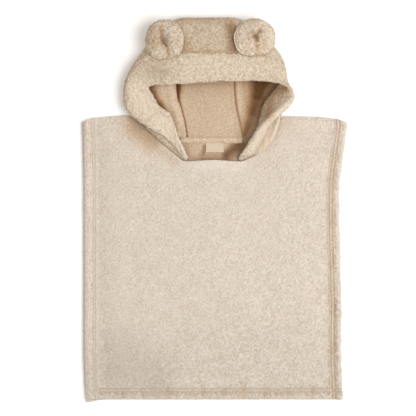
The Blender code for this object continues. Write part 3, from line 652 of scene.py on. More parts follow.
def border_distances(grid):
    """Distance of each point from the first row, last row, first column and last column."""
    distances = []
    for axis in (0, 1):
        steps = np.linalg.norm(np.diff(grid, axis=axis), axis=2)
        zero = np.zeros_like(np.take(steps, [0], axis=axis))
        along = np.concatenate([zero, np.cumsum(steps, axis=axis)], axis=axis)
        distances += [along, np.take(along, [-1], axis=axis) - along]
    return distances


def rounding(distance, radius):
    """Share of the thickness left at a distance from an edge that rounds off."""
    inside = np.clip(distance / radius, 0, 1)
    return np.sqrt(np.maximum(1 - (1 - inside) ** 2, 0))


def bump(distance, reach):
    return np.exp(-((distance / reach) ** 2))


def smooth_step(share):
    share = np.clip(share, 0, 1)
    return share * share * (3 - 2 * share)


def window(value, low, high, fade):
    """1 between low and high, fading to 0 at both."""
    return smooth_step((value - low) / fade) * smooth_step((high - value) / fade)


def from_line(x, y, start, end):
    """Share of the way from start to end, and how far to the right of the line and above it."""
    along_x, along_y = end[0] - start[0], end[1] - start[1]
    share = ((x - start[0]) * along_x + (y - start[1]) * along_y) / (along_x**2 + along_y**2)
    share = np.clip(share, 0, 1)
    return share, x - start[0] - along_x * share, y - start[1] - along_y * share


def pocketed(grid, pockets, level=POCKET_LEVEL):
    """Strength of the pockets at each point of a grid that lies below the level."""
    strength = np.zeros(grid.shape[:-1])
    for pocket in pockets:
        share, off_x, off_y = from_line(grid[..., 0], grid[..., 1], pocket.start, pocket.end)
        width = pocket.start_width + (pocket.end_width - pocket.start_width) * share
        strength = np.maximum(strength, pocket.strength * bump(np.hypot(off_x, off_y), width))
    return strength * smooth_step((level - grid[..., 2]) / POCKET_FADE)


def raised(values, grid, pockets):
    """Values of a grid raised in its pockets, and kept between 0 and 1."""
    return np.clip(values + pocketed(grid, pockets, TOP_LEVEL), 0, 1)


def coherent(points, wavelength, seed):
    """Smooth noise from about -1 to 1 at each point."""
    flat = points.reshape(-1, 3) / wavelength + seed * SEED_SPACING
    values = [noise.noise(p) for p in flat.tolist()]
    return np.array(values).reshape(points.shape[:-1])


# ---- meshes of cloth


def napped(points, normals, pile, seed, vigour=1.0):
    """Points moved along their normals by the unevenness of the pile, and its height from 0 to 1.

    vigour makes the pile more uneven where it is above 1.
    """
    random = np.random.default_rng(seed)
    loops = random.uniform(-1, 1, points.shape[:-1])
    curls = coherent(points, pile.curl_size, seed)
    swells = coherent(points, SWELL_SIZE, seed + 1)
    height = pile.curls * curls + pile.swells * swells + pile.loops * loops
    sideways = random.uniform(-1, 1, points.shape) * pile.loops * SIDEWAYS
    moved = points + normals * (height * vigour)[..., None] + sideways
    moved[..., 2] = np.maximum(moved[..., 2], FLOOR_GAP)
    unevenness = NAP_LOOPS * loops + NAP_CURLS * curls + NAP_SWELLS * swells
    return moved, np.clip(NAP_LEVEL + unevenness * vigour, 0, 1)


def hemisphere(count):
    """Directions spread evenly over the sky, more of them near its top."""
    ways = []
    for i in range(count):
        up = (1 - (i + 0.5) / count) ** 0.5
        turn = i * pi * (3 - 5**0.5)
        ways.append(Vector((cos(turn) * (1 - up * up) ** 0.5, sin(turn) * (1 - up * up) ** 0.5, up)))
    return ways


RAY_WAYS = hemisphere(RAY_COUNT)


def spread_marks(count):
    """Indices a few apart, the first and the last among them."""
    return np.unique(np.append(np.arange(0, count, RAY_SKIP), count - 1))


def hollowness(points, normals, solids):
    """How far each point of a grid is shut in by the garment's solids, from 0 in the open to 1."""
    rows, columns = (spread_marks(count) for count in points.shape[:2])
    shut = np.zeros((len(rows), len(columns)))
    for i, row in enumerate(rows):
        for j, column in enumerate(columns):
            normal = Vector(normals[row, column]).normalized()
            start = (Vector(points[row, column]) + normal * RAY_START) * MM
            turn = Vector((0, 0, 1)).rotation_difference(normal)
            for way in RAY_WAYS:
                hits = [tree.ray_cast(start, turn @ way, RAY_REACH * MM) for tree in solids]
                near = min((hit[3] for hit in hits if hit[0] is not None), default=None)
                if near is not None:
                    shut[i, j] += (1 - near / (RAY_REACH * MM)) / len(RAY_WAYS)
    across = np.array([np.interp(np.arange(points.shape[1]), columns, line) for line in shut])
    return np.array([np.interp(np.arange(points.shape[0]), rows, line) for line in across.T]).T


def quads(rows, columns, start=0, flip=False):
    """Faces of a grid of points."""
    index = np.arange(rows * columns).reshape(rows, columns) + start
    faces = np.stack([index[:-1, :-1], index[:-1, 1:], index[1:, 1:], index[1:, :-1]], axis=-1)
    faces = faces.reshape(-1, 4)
    return faces[:, ::-1] if flip else faces


def ring_faces(rings, sides, start=0):
    """Faces between closed rings of points."""
    index = np.arange(rings * sides).reshape(rings, sides) + start
    after = np.roll(index, -1, axis=1)
    return np.stack([index[:-1], after[:-1], after[1:], index[1:]], axis=-1).reshape(-1, 4)


def rim_index(rows, columns):
    """The points round the border of a grid, in order."""
    index = np.arange(rows * columns).reshape(rows, columns)
    return np.concatenate([index[0], index[1:, -1], index[-1, -2::-1], index[-2:0:-1, 0]])


def placed(name, data):
    """A new object in the scene."""
    item = bpy.data.objects.new(name, data)
    bpy.context.scene.collection.objects.link(item)
    return item


def add_mesh(name, points, faces, skin, materials, looks=None):
    """A mesh piece. skin has the pile's tone and its warm painted shade at each point.

    looks has the number of each face's material. The piece's grey painted shades are added to its skin.
    """
    mesh = bpy.data.meshes.new(name)
    points = np.asarray(points).reshape(-1, 3)
    mesh.from_pydata((points * MM).tolist(), [], [list(f) for f in faces])
    for material in materials:
        mesh.materials.append(material)
    if looks is not None:
        mesh.polygons.foreach_set("material_index", looks)
    shade = pocketed(points, SHADES.get(name, ()), TOP_LEVEL)
    for layer, values in zip(SKIN_LAYERS, (*skin, shade)):
        attribute = mesh.attributes.new(layer, "FLOAT", "POINT")
        attribute.data.foreach_set("value", np.asarray(values, float).ravel())
    mesh.shade_smooth()
    return placed(name, mesh)


def kept_marks(count, skip):
    """Indices of a coarser row of points that keeps the close ones at both borders."""
    border = len(BORDER_STEPS)
    return np.unique(np.concatenate([np.arange(border), np.arange(0, count, skip),
                                     np.arange(count - border, count)]))


def cloth_wall(name, upper, lower, upper_skin, lower_skin, materials, skip=1):
    """A closed shell between two grids of points of one size. The lower one keeps one in skip.

    The last of the materials is for the lower face, the first for all the rest.
    """
    rows, columns = upper.shape[:2]
    kept_rows, kept_columns = kept_marks(rows, skip), kept_marks(columns, skip)
    kept = np.ix_(kept_rows, kept_columns)
    below = rows * columns
    faces = quads(rows, columns).tolist()
    upper_count = len(faces)
    faces += quads(len(kept_rows), len(kept_columns), below, flip=True).tolist()
    looks = [0] * upper_count + [len(materials) - 1] * (len(faces) - upper_count)
    place = np.full((rows, columns), -1)
    place[kept] = np.arange(len(kept_rows) * len(kept_columns)).reshape(len(kept_rows), -1) + below
    place = place.ravel()
    rim = rim_index(rows, columns).tolist()
    chain = [rim[0]]
    for index in rim[1:] + rim[:1]:
        chain.append(index)
        if place[index] >= 0:
            faces.append(chain[::-1] + [int(place[chain[0]]), int(place[index])])
            chain = [index]
    points = np.concatenate([upper.reshape(-1, 3), lower[kept].reshape(-1, 3)])
    skin = [np.concatenate([above.ravel(), under[kept].ravel()])
            for above, under in zip(upper_skin, lower_skin)]
    looks += [0] * (len(faces) - len(looks))
    return add_mesh(name, points, faces, skin, materials, looks)


def tree_of(mesh):
    """A mesh that rays can be sent at."""
    return BVHTree.FromPolygons([v.co for v in mesh.vertices], [list(p.vertices) for p in mesh.polygons])


# ---- hood


def hood_grids(station_steps, side_steps, strip_columns):
    """Grids of the strip and the left and right side, from their tables."""
    def side(rows, edge):
        lines = []
        for strip_row, row in zip(STRIP, rows):
            start = (getattr(strip_row, edge), strip_row.y, strip_row.z)
            stops = [start, row.floor_in, row.floor_out, row.fold_low, row.fold_high, row.turn, row.band]
            lines.append(curve(stops, side_steps))
        grid = np.stack([curve(column, station_steps) for column in np.stack(lines, axis=1)], axis=1)
        grid[..., 2] = np.maximum(grid[..., 2], WALL / 2)
        return grid

    left, right = side(LEFT_SIDE, "left"), side(RIGHT_SIDE, "right")
    share = np.linspace(0, 1, strip_columns + 1)[None, :, None]
    strip = left[:, :1] + (right[:, :1] - left[:, :1]) * share
    arch = np.clip((np.arange(len(left)) / len(left) - ARCH_START) / (1 - ARCH_START), 0, None)
    lift = np.array([0, BAND_MIDDLE_BACK, BAND_MIDDLE_RISE])
    strip = strip + arch[:, None, None] * np.sin(pi * share) * lift
    return strip, left, right


def hood_panel(panel, grid, materials, solids):
    """A panel of the hood with its seams and soft rolls, with shade painted in its seams, beside its rolls,
    where it is shut in and at listed places, and light painted outside.
    """
    grid = evened(grid, HOOD_STEP)
    normals = softened(grid_normals(grid), NORMAL_SOFTENING)
    if panel.flip:
        normals = -normals
    distances = border_distances(grid)
    outer, inner = np.full((2, *grid.shape[:2]), WALL / 2)
    crease_shade = np.zeros(grid.shape[:2])
    for distance, (groove, welt) in zip(distances, HOOD_SEAMS):
        outer -= groove * bump(distance, SEAM_ROUND)
        crease = SEAM_CREASE * bump(distance, SEAM_CREASE_WIDTH)
        inner += welt * bump(distance - WELT_PLACE, WELT_WIDTH) - crease
        # painted shade along the seams
        crease_shade += SEAM_DARK * min(1.0, welt) * bump(distance, SEAM_DARK_WIDTH)
    crease_shade += pocketed(grid, panel.pockets)
    inside = grid + normals * inner[..., None]
    across = unit(np.gradient(grid, axis=1))
    for ridge in panel.ridges:
        distance, toward = (distances[3], across) if ridge.at_last else (distances[2], -across)
        length = window(grid[..., 1], ridge.low, ridge.high, ridge.fade)
        rise = (length * bump(distance - ridge.place, ridge.width))[..., None]
        inside = inside + normals * (ridge.height * rise) + toward * (ridge.lean * rise)
        # painted shade beside a roll
        crease_shade += ridge.dark * length * bump(distance - RIDGE_DARK_PLACE, RIDGE_DARK_WIDTH * ridge.place)
    outside = grid - normals * outer[..., None]
    # painted shade where a face is shut in by the garment
    shut = [share * hollowness(face, way, solids)
            for share, face, way in zip(panel.shading, (inside, outside), (normals, -normals))]
    inner_seed, outer_seed = SEEDS[panel.name]
    inside, inside_nap = napped(inside, normals, INNER_PILE, inner_seed)
    outside, outside_nap = napped(outside, -normals, HOOD_PILE, outer_seed)
    inner_skin = (inside_nap, np.clip(shut[0] + crease_shade, 0, 1))
    # painted light and painted shade outside, at listed places
    outer_skin = (raised(outside_nap, outside, OUTER_PAINTED_LIGHT), raised(shut[1], outside, OUTER_PAINTED_SHADE))
    if panel.flip:
        return cloth_wall(panel.name, outside, inside, outer_skin, inner_skin, materials)
    return cloth_wall(panel.name, inside, outside, inner_skin, outer_skin, materials[::-1])


def band_stops(strip, left, right):
    """Base, rim, roll radius and bulge of the band at stops from its left tip to its right tip."""
    steps = (len(left) - 1) // (len(LEFT_SIDE) - 1)
    sides = (LEFT_SIDE, RIGHT_SIDE)
    rims = [curve([row.rim for row in rows], steps) for rows in sides]
    folds = [curve([(row.roll, row.bulge, 0) for row in rows], steps) for rows in sides]
    half = strip.shape[1] // 2 + 1
    middle = curve([rims[0][-1], RIM_MIDDLE, rims[1][-1]], half)[1:-1]
    bases = np.concatenate([left[:, -1], strip[-1], right[::-1, -1]])
    tops = np.concatenate([rims[0], middle, rims[1][::-1]])
    fold = np.concatenate([folds[0], np.repeat(folds[0][-1:], strip.shape[1], axis=0), folds[1][::-1]])
    return bases, tops, fold[:, :2]


def build_band(name, material, solids):
    """The band as one skin: up its outer face, round the rolled rim and down its inner face."""
    stops = band_stops(*hood_grids(BAND_TABLE_STEPS, BAND_TABLE_STEPS, BAND_STRIP_COLUMNS))
    path = curve(np.concatenate(stops, axis=1), BAND_STEPS)[:, None]
    bases, tops, roll, bulge = path[..., :3], path[..., 3:6], path[..., 6:7], path[..., 7:8]
    ahead = unit(tops - bases)
    waves = sum(height * coherent(tops, length, RIM_SEED) for height, length in RIM_WAVES)
    noses = tops + ahead * (waves[..., None] - roll)
    share = np.linspace(0, 1, BAND_ACROSS)[None, :, None]
    line = bases + (noses - bases) * share
    normals = unit(softened(-grid_normals(line), BAND_SOFTENING))
    thick = BAND_BASE_THICK + (2 * roll - BAND_BASE_THICK) * share
    thick = thick + np.maximum(bulge - thick, 0) * np.sin(pi * share) ** BAND_PUFF
    from_seam = np.linalg.norm(line - bases, axis=2, keepdims=True)
    thick = thick * (1 - BAND_SEAM_PINCH * bump(from_seam, SEAM_ROUND))
    turns = (pi * np.arange(1, NOSE_STEPS) / NOSE_STEPS)[None, :, None]
    nose = noses + (-normals[:, -1:] * np.cos(turns) + ahead * np.sin(turns)) * roll
    outer, inner = line - normals * thick / 2, line + normals * thick / 2
    ring = evened(np.concatenate([outer, nose, inner[:, ::-1]], axis=1), HOOD_STEP)
    normals = grid_normals(ring)
    # painted shade where the band is shut in, and painted light and shade at listed places
    shut = BAND_SHARE * hollowness(ring, normals, solids)
    points, heights = napped(ring, normals, BAND_PILE, SEEDS[name][0])
    skin = (raised(heights, ring, BAND_PAINTED_LIGHT), raised(shut, ring, BAND_PAINTED_SHADE))
    rows, columns = points.shape[:2]
    ends = [list(range(columns))[::-1], list(range((rows - 1) * columns, rows * columns))]
    return add_mesh(name, points, quads(rows, columns).tolist() + ends, skin, [material])


# ---- body


def panel_edges(y):
    rows = np.array(BODY_SIDES, float)
    return np.interp(y, rows[:, 0], rows[:, 1]), np.interp(y, rows[:, 0], rows[:, 2])


def panel_marks(length, step):
    """Places across a panel: fine ones in the hems at both ends, wider ones between."""
    ends = np.concatenate([BORDER_STEPS[:-1], np.arange(BORDER_STEPS[-1], HEM_ZONE, HEM_STEP)])
    count = round((length - 2 * HEM_ZONE) / step)
    middle = np.linspace(HEM_ZONE, length - HEM_ZONE, count + 1)
    return np.concatenate([ends, middle, length - ends[::-1]])


def panel_grid(neck, is_front, step):
    """x and y of a body panel's points, and their distances from its left, right, low and top edge."""
    top = np.array([*SHOULDER_LEFT, *neck, *SHOULDER_RIGHT], float)
    first, last = BODY_SIDES[-1].left, BODY_SIDES[-1].right
    x_top = first + panel_marks(last - first, step)
    y_top = np.interp(x_top, top[:, 0], top[:, 1])
    y_top[2:-2] = np.convolve(y_top, TOP_SOFTENING, mode="valid")
    low = np.full_like(x_top, BODY_SIDES[0].y)
    if is_front:
        open_part = bump(x_top - NECK_LIFT_PLACE[0], NECK_HALF)
        sewn_part = window(x_top, neck[0].x, neck[-1].x, SEAM_FADE)
        y_top += NECK_ROLL_OUT * open_part**2 + SEAM_CLOSING * sewn_part * (1 - open_part)
    else:
        low = low - LEFT_CORNER_DROP * bump(x_top - first, CORNER_DROP_WIDTH)
    y = low + (y_top - low) * (panel_marks(PANEL_LENGTH, step) / PANEL_LENGTH)[:, None]
    left, right = panel_edges(y)
    share = (x_top - first) / (last - first)
    x = x_top + (left - first) * np.maximum(0, 1 - share / SIDE_SHARE)
    x = x + (right - last) * np.maximum(0, 1 - (1 - share) / SIDE_SHARE)
    return x, y, (x - left, right - x, y - low, y_top - y)


HemRelief = namedtuple("HemRelief", "turned brushed crinkled pressed sunk crinkles")


def hem_relief(flat, from_left, from_right, from_low):
    """What the hems do at each point of a panel, each kind as a share.

    The cloth is turned double, lightened with painted light, crinkled, pressed in along the stitching
    and sunk in beside it. crinkles is the noise of the crinkled part.
    """
    crinkles = coherent(flat * np.array(CRINKLE_STRETCH), CRINKLE_SIZE, CRINKLE_SEED)
    turned, brushed, crinkled, pressed, sunk = np.zeros((5, *from_left.shape))
    from_low = np.where(from_left < LEFT_HEM.width, PANEL_LENGTH, from_low)
    for hem, distance in ((LEFT_HEM, from_left), (RIGHT_HEM, from_right), (BOTTOM_HEM, from_low)):
        turned = np.maximum(turned, np.clip((hem.width - distance) / HEM_SLOPE + 0.5, 0, 1))
        brushed += hem.brush * window(distance, hem.brush_from, hem.brush_to, PAINTED_LIGHT_FADE)
        outside = np.clip((hem.stitches[0] - distance) / HEM_SLOPE + 0.5, 0, 1)
        crinkled = np.maximum(crinkled, hem.crinkle * outside * smooth_step(distance / CRINKLE_FADE))
        trough = distance - hem.stitches[0] + TROUGH_PLACE
        sunk = np.maximum(sunk, hem.crinkle * bump(trough, TROUGH_WIDTH))
        for place in hem.stitches:
            pressed = np.maximum(pressed, hem.mark * bump(distance - place, STITCH_WIDTH))
    sunk *= np.clip(0.5 - crinkles, 0, 1)
    return HemRelief(turned, brushed, crinkled, pressed, sunk, crinkles)


def body_folds(x, y, flat):
    """Soft unevenness of the front panel as it lies, and the shade painted in its troughs.

    Broad swells run all over it. The troughs, and the puckers at its hems, are placed one by one.
    """
    height = sum(swell.height * coherent(flat * np.array(swell.stretch), swell.length, swell.seed)
                 for swell in BODY_SWELLS)
    dark = np.zeros_like(x)
    for fold in BODY_FOLDS:
        off_x, off_y = from_line(x, y, fold.start, fold.end)[1:]
        share = bump(np.hypot(off_x, off_y), fold.width)
        height = height + fold.height * share
        dark = np.maximum(dark, fold.dark * share)
    return height, dark


def body_panel(name, neck, is_front, material, solids):
    """A panel of the body with its hems, folds and pile, lying on the table or on the other one."""
    x, y, edges = panel_grid(neck, is_front, STEP if is_front else BACK_STEP)
    from_left, from_right, from_low, from_top = edges
    flat = grid_of(x, y, 0.0)
    hems = hem_relief(flat, from_left, from_right, from_low)
    thick = WALL + HEM_RAISE * hems.turned - STITCH_GROOVE * hems.pressed - TROUGH_DEPTH * hems.sunk
    middle = np.zeros_like(x)
    sewn = np.ones_like(x)
    if is_front:
        x = x + EDGE_FLUFF * (1 + hems.crinkles) * bump(from_right, EDGE_FLUFF_WIDTH)
        at_neck = bump(x - NECK_LIFT_PLACE[0], NECK_LIFT_SPREAD[0])
        open_part = bump(x - NECK_LIFT_PLACE[0], NECK_HALF)
        folds, fold_dark = body_folds(x, y, flat)
        middle += FRONT_BOTTOM + NECK_LIFT * at_neck * bump(y - NECK_LIFT_PLACE[1], NECK_LIFT_SPREAD[1])
        middle += HEM_SHARE * HEM_RAISE * hems.turned
        middle += folds + CRINKLE_HEIGHT * hems.crinkled * hems.crinkles
        thick = thick + NECK_ROLL * at_neck * bump(from_top - EDGE_ROUND, NECK_ROLL_WIDTH)
        sewn = 1 - open_part
    edge = np.minimum.reduce([from_left, from_right, from_low, from_top + NECK_EDGE + SEWN_EDGE * sewn])
    part = rounding(edge + EDGE_START, EDGE_ROUND)
    lower = grid_of(x, y, middle + thick * (1 - part) / 2)
    upper = grid_of(x, y, middle + thick * (1 + part) / 2)
    up = grid_of(np.zeros_like(x), 0.0, 1.0)
    # Painted shade near the hood, where the garment shuts the panel in
    shut = np.zeros_like(x)
    near_hood = np.nonzero(y.min(axis=1) > SHADED_FROM)[0][0]
    shut[near_hood:] = softened(hollowness(upper[near_hood:], up[near_hood:], solids), SHADE_SOFTENING)
    creases = hems.crinkled * np.maximum(-hems.crinkles, 0)
    if is_front:
        shut *= FRONT_SHARE * (1 - open_part * bump(from_top, NECK_ROLL_LIGHT))
        # painted shade beside the hood's left side, in the troughs, along the stitching and in the crinkles
        shut += pocketed(upper, FRONT_PAINTED_SHADE, TOP_LEVEL) + fold_dark
        shut += STITCH_DARK * hems.pressed + CRINKLE_DARK * creases
    else:
        # painted shade on the back panel inside the neck
        shut = np.minimum(BACK_SHARE * shut, BACK_DARKEST) + pocketed(upper, NECK_PAINTED_SHADE)
    vigour = 1 + LOW_VIGOUR * smooth_step((x - y - VIGOUR_FROM) / VIGOUR_FADE)
    vigour += HEM_VIGOUR * hems.crinkled
    upper_seed, lower_seed = SEEDS[name]
    upper, pile_tone = napped(upper, grid_normals(upper), BODY_PILE, upper_seed, vigour)
    # painted shade: the pile's tone goes towards its darker roots along the stitching, in the crinkles and
    # in the trough
    pile_tone -= STITCH_PAINTED_SHADE * hems.pressed + CRINKLE_LOW * creases + TROUGH_LOW * hems.sunk
    if is_front:
        # painted light along the neckline and at the side hems
        pile_tone += NECK_PAINTED_LIGHT * at_neck * bump(from_top, NECK_PAINTED_LIGHT_WIDTH) + hems.brushed
    lower, lower_nap = napped(lower, -up, FLAT_PILE, lower_seed)
    return cloth_wall(name, upper, lower, (np.clip(pile_tone, 0, 1), np.clip(shut, 0, 1)),
                      (lower_nap, np.zeros_like(x)), [material], UNDERSIDE_SKIP if is_front else 1)


# ---- ears


def ear_faces(ear):
    """Front and back of a stuffed ear before it is seated, as grids of rings and sides, and the shade
    painted along its creases.
    """
    turn = np.linspace(0, 2 * pi, EAR_SIDES, endpoint=False)[None, :]
    share = np.sin(pi / 2 * np.linspace(0, 1, EAR_RINGS + 1))[:, None]
    power = EAR_TOP_POWER + (EAR_BASE_POWER - EAR_TOP_POWER) * np.maximum(0.0, -np.cos(turn))
    profile = (np.abs(np.sin(turn)) ** power + np.abs(np.cos(turn)) ** power) ** (-1 / power)
    x = ear.width / 2 * profile * share * np.sin(turn)
    y = ear.height / 2 * profile * share * np.cos(turn)
    crown = np.maximum(0, 1 - share ** EAR_CROWN_POWERS[0]) ** EAR_CROWN_POWERS[1] * np.ones_like(x)
    front = EAR_FRONT * crown
    crease_shade = np.zeros_like(x)
    for crease in ear.creases:
        off_x, off_y = from_line(x, y, crease.start, crease.end)[1:]
        width = np.where(off_x < 0, crease.steep, crease.gentle)
        fold = bump(np.hypot(off_x, off_y), width)
        front = front - crease.depth * fold * np.minimum(1, crown * CREASE_FADE)
        # shade painted along the crease
        dark = bump(np.hypot(off_x - CREASE_DARK_PLACE, off_y), crease.steep + CREASE_DARK_MARGIN)
        crease_shade = np.maximum(crease_shade, crease.dark * dark)
    return grid_of(x, y, np.maximum(front, 0)), grid_of(x, y, -EAR_BACK * crown), crease_shade


def ground_under(points, carriers):
    """Height of the hood below each point and just round it."""
    grounds = np.zeros(len(points))
    for across, along in ((0, 0), (1, 0), (-1, 0), (0, 1), (0, -1)):
        for i, (x, y, _) in enumerate(points):
            place = Vector((x + across * EAR_PROBE, y + along * EAR_PROBE, EAR_PROBE_HEIGHT)) * MM
            for tree in carriers:
                hit = tree.ray_cast(place, DOWN)
                if hit[0] is not None:
                    grounds[i] = max(grounds[i], hit[0].z / MM)
    return grounds


def closed_normals(rings):
    """Upward normals of a grid of rings whose last column joins the first."""
    around = np.roll(rings, -1, axis=1) - np.roll(rings, 1, axis=1)
    normals = unit(np.cross(np.gradient(rings, axis=0), around))
    normals[0] = (0, 0, 1)
    return np.where(normals[..., 2:] < DOWNWARD, -normals, normals)


def build_ear(ear, carriers, material):
    """An ear seated on the hood, its front and back closed at the rim."""
    front, back, crease_shade = ear_faces(ear)
    lean, spin = radians(ear.lean), radians(ear.turn)
    tilt = np.array(Matrix.Rotation(spin, 3, "Z") @ Matrix.Rotation(lean, 3, "X"))
    front, back = (face @ tilt.T + np.array([ear.x, ear.y, 0]) for face in (front, back))
    ground = ground_under(back.reshape(-1, 3), carriers).reshape(back.shape[:2])
    rise = (ground - back[..., 2]).max() - EAR_SINK
    back[..., 2] = np.maximum(back[..., 2] + rise, ground + EAR_GAP)
    front[..., 2] = np.maximum(front[..., 2] + rise, back[..., 2] + EAR_LEAST)
    front[-1] = back[-1]
    name = ear.name + "_cloth"
    front_seed, back_seed = SEEDS[name]
    front, front_nap = napped(front, closed_normals(front), EAR_PILE, front_seed)
    back, back_nap = napped(back, -closed_normals(back), INNER_PILE, back_seed)
    back[-1], back_nap[-1] = front[-1], front_nap[-1]
    # painted shade in the creases and at listed places
    crease_shade = raised(crease_shade, front, EAR_PAINTED_SHADE)
    rings, pile_tone, warm_painted_shade = (
        np.concatenate([face, behind[-2::-1]])
        for face, behind in ((front, back), (front_nap, back_nap), (crease_shade, np.zeros_like(crease_shade))))
    faces = ring_faces(*rings.shape[:2])[:, [0, 3, 2, 1]]
    return add_mesh(name, rings, faces.tolist(), (pile_tone, warm_painted_shade), [material])


# ---- trims


def strip_of_cloth(trim, material):
    """A flat trim that lies on the back panel, its long edges rounded off."""
    width, length, thickness = trim.size
    x, y = np.meshgrid(trim.x + marks_along(width, TRIM_STEP), trim.y + marks_along(length, TRIM_STEP))
    edge = np.minimum.reduce([x - trim.x, trim.x + width - x, y - trim.y, trim.y + length - y])
    part = rounding(edge + TRIM_EDGE_START, TRIM_ROUND)
    thick = np.full_like(x, thickness)
    # painted shade: the trims lie in the neck under the hood, darker still at their edges and grooves
    dark = TRIM_PAINTED_SHADE + TRIM_EDGE_DARK * bump(edge, TRIM_DARK_WIDTH)
    for place in trim.grooves:
        groove = bump(y - trim.y - place, GROOVE_WIDTH)
        thick = thick - GROOVE_DEPTH * thickness * groove
        dark = dark + TRIM_EDGE_DARK * groove
    base = WALL + trim.rise + trim.curl * ((trim.y + length - y) / length) ** 2
    upper = grid_of(x, y, base + thick * (1 + part) / 2)
    lower = grid_of(x, y, base + thick * (1 - part) / 2)
    upper, heights = napped(upper, grid_normals(upper), trim.pile, SEEDS[trim.name][0])
    skin = (heights, dark)
    return cloth_wall(trim.name, upper, lower, skin, skin, [material])


def stitch_rows(name, rows, carrier, material):
    """Rows of short raised stitches that lie on a carrying piece, one joined mesh.

    Each row is a path of (x, y) points. A stitch is a spindle.
    """
    tree = tree_of(carrier.data)
    points, faces = [], []
    for row in rows:
        path = np.array(row, float)
        along = np.concatenate([[0], np.cumsum(np.linalg.norm(np.diff(path, axis=0), axis=1))])
        for start in np.arange(STITCH_START, along[-1] - STITCH_LENGTH, STITCH_LENGTH + STITCH_PAUSE):
            ends = [np.array([np.interp(at, along, line) for line in path.T])
                    for at in (start, start + STITCH_LENGTH)]
            way = unit(ends[1] - ends[0])
            side = np.array([-way[1], way[0]])
            hit = tree.ray_cast(Vector((*(ends[0] + ends[1]) / 2, STITCH_PROBE)) * MM, DOWN)
            if hit[0] is None:
                continue
            level = hit[0].z / MM
            first = len(points)
            for part, radius in SPINDLE:
                place = ends[0] + (ends[1] - ends[0]) * part
                for k in range(SPINDLE_SIDES):
                    turn = 2 * pi * k / SPINDLE_SIDES
                    flat = place + side * radius * STITCH_THICK * cos(turn) * STITCH_SPREAD
                    points.append((*flat, level + STITCH_THICK * (STITCH_RISE + radius * sin(turn))))
            faces += ring_faces(len(SPINDLE), SPINDLE_SIDES, first).tolist()
            index = list(range(first, len(points)))
            faces += [index[:SPINDLE_SIDES][::-1], index[-SPINDLE_SIDES:]]
    flat = np.zeros(len(points))
    return add_mesh(name, points, faces, (flat, flat), [material])


def hem_rows():
    """Paths of the twin stitching along the side and bottom hems."""
    low, left_end, right_end = BODY_SIDES[0]
    heights = np.linspace(low + ROW_LOW_END, ROW_TOP, SIDE_ROW_POINTS)
    left, right = panel_edges(heights)
    rows = [np.column_stack([left + place, heights]) for place in LEFT_HEM.stitches]
    rows += [np.column_stack([right - place, heights]) for place in RIGHT_HEM.stitches]
    start, end = left_end + LEFT_HEM.stitches[-1], right_end - RIGHT_HEM.stitches[-1]
    across = np.linspace(start, end, LOW_ROW_POINTS)
    rows += [np.column_stack([across, np.full_like(across, low + place)]) for place in BOTTOM_HEM.stitches]
    return rows


def tape_rows():
    """Paths of the stitching along both edges of the tape."""
    start, end = TAPE.x + TAPE_STITCH_END, TAPE.x + TAPE.size[0] - TAPE_STITCH_END
    return [[(start, TAPE.y + place), (end, TAPE.y + place)] for place in TAPE.grooves]


# ---- materials


def node(tree, kind, output, *inputs, **settings):
    """The named output of a new shader node.

    Its inputs are set in order or by name, each to a value or to another node's output. A setting
    that is no input belongs to the node itself.
    """
    made = tree.nodes.new("ShaderNode" + kind)
    for key, value in (*settings.items(), *enumerate(inputs)):
        if isinstance(key, str) and key not in made.inputs:
            setattr(made, key, value)
        elif isinstance(value, bpy.types.NodeSocket):
            tree.links.new(value, made.inputs[key])
        else:
            made.inputs[key].default_value = value
    return made.outputs[output]


def new_material(name, looks):
    """A material, and its shader with these looks."""
    material = bpy.data.materials.new(name)
    material.use_nodes = True
    shader = material.node_tree.nodes["Principled BSDF"]
    for key, value in looks.items():
        shader.inputs[key].default_value = value
    return material, shader


def finish_shader(tree, shader, colour, relief, strength, distance):
    """Give the shader its colour, and a bump of this strength from the relief."""
    bumped = node(tree, "Bump", "Normal", Strength=strength, Distance=distance * MM, Height=relief)
    tree.links.new(colour, shader.inputs["Base Color"])
    tree.links.new(bumped, shader.inputs["Normal"])


def mixed(tree, share, low, high):
    """A colour between low and high."""
    return node(tree, "Mix", "Result", data_type="RGBA", A=(*low, 1), B=(*high, 1), Factor=share)


def warm_shade_tint(tree, warm_painted_shade):
    """The warm painted shade that the pile takes on where it is shut in."""
    tint = node(tree, "ValToRGB", "Color", Fac=warm_painted_shade)
    stops = tint.node.color_ramp.elements
    while len(stops) < len(WARM_SHADE_TINTS):
        stops.new(0.5)
    for stop, (position, colour) in zip(stops, WARM_SHADE_TINTS):
        stop.position = position
        stop.color = (*colour, 1)
    return tint


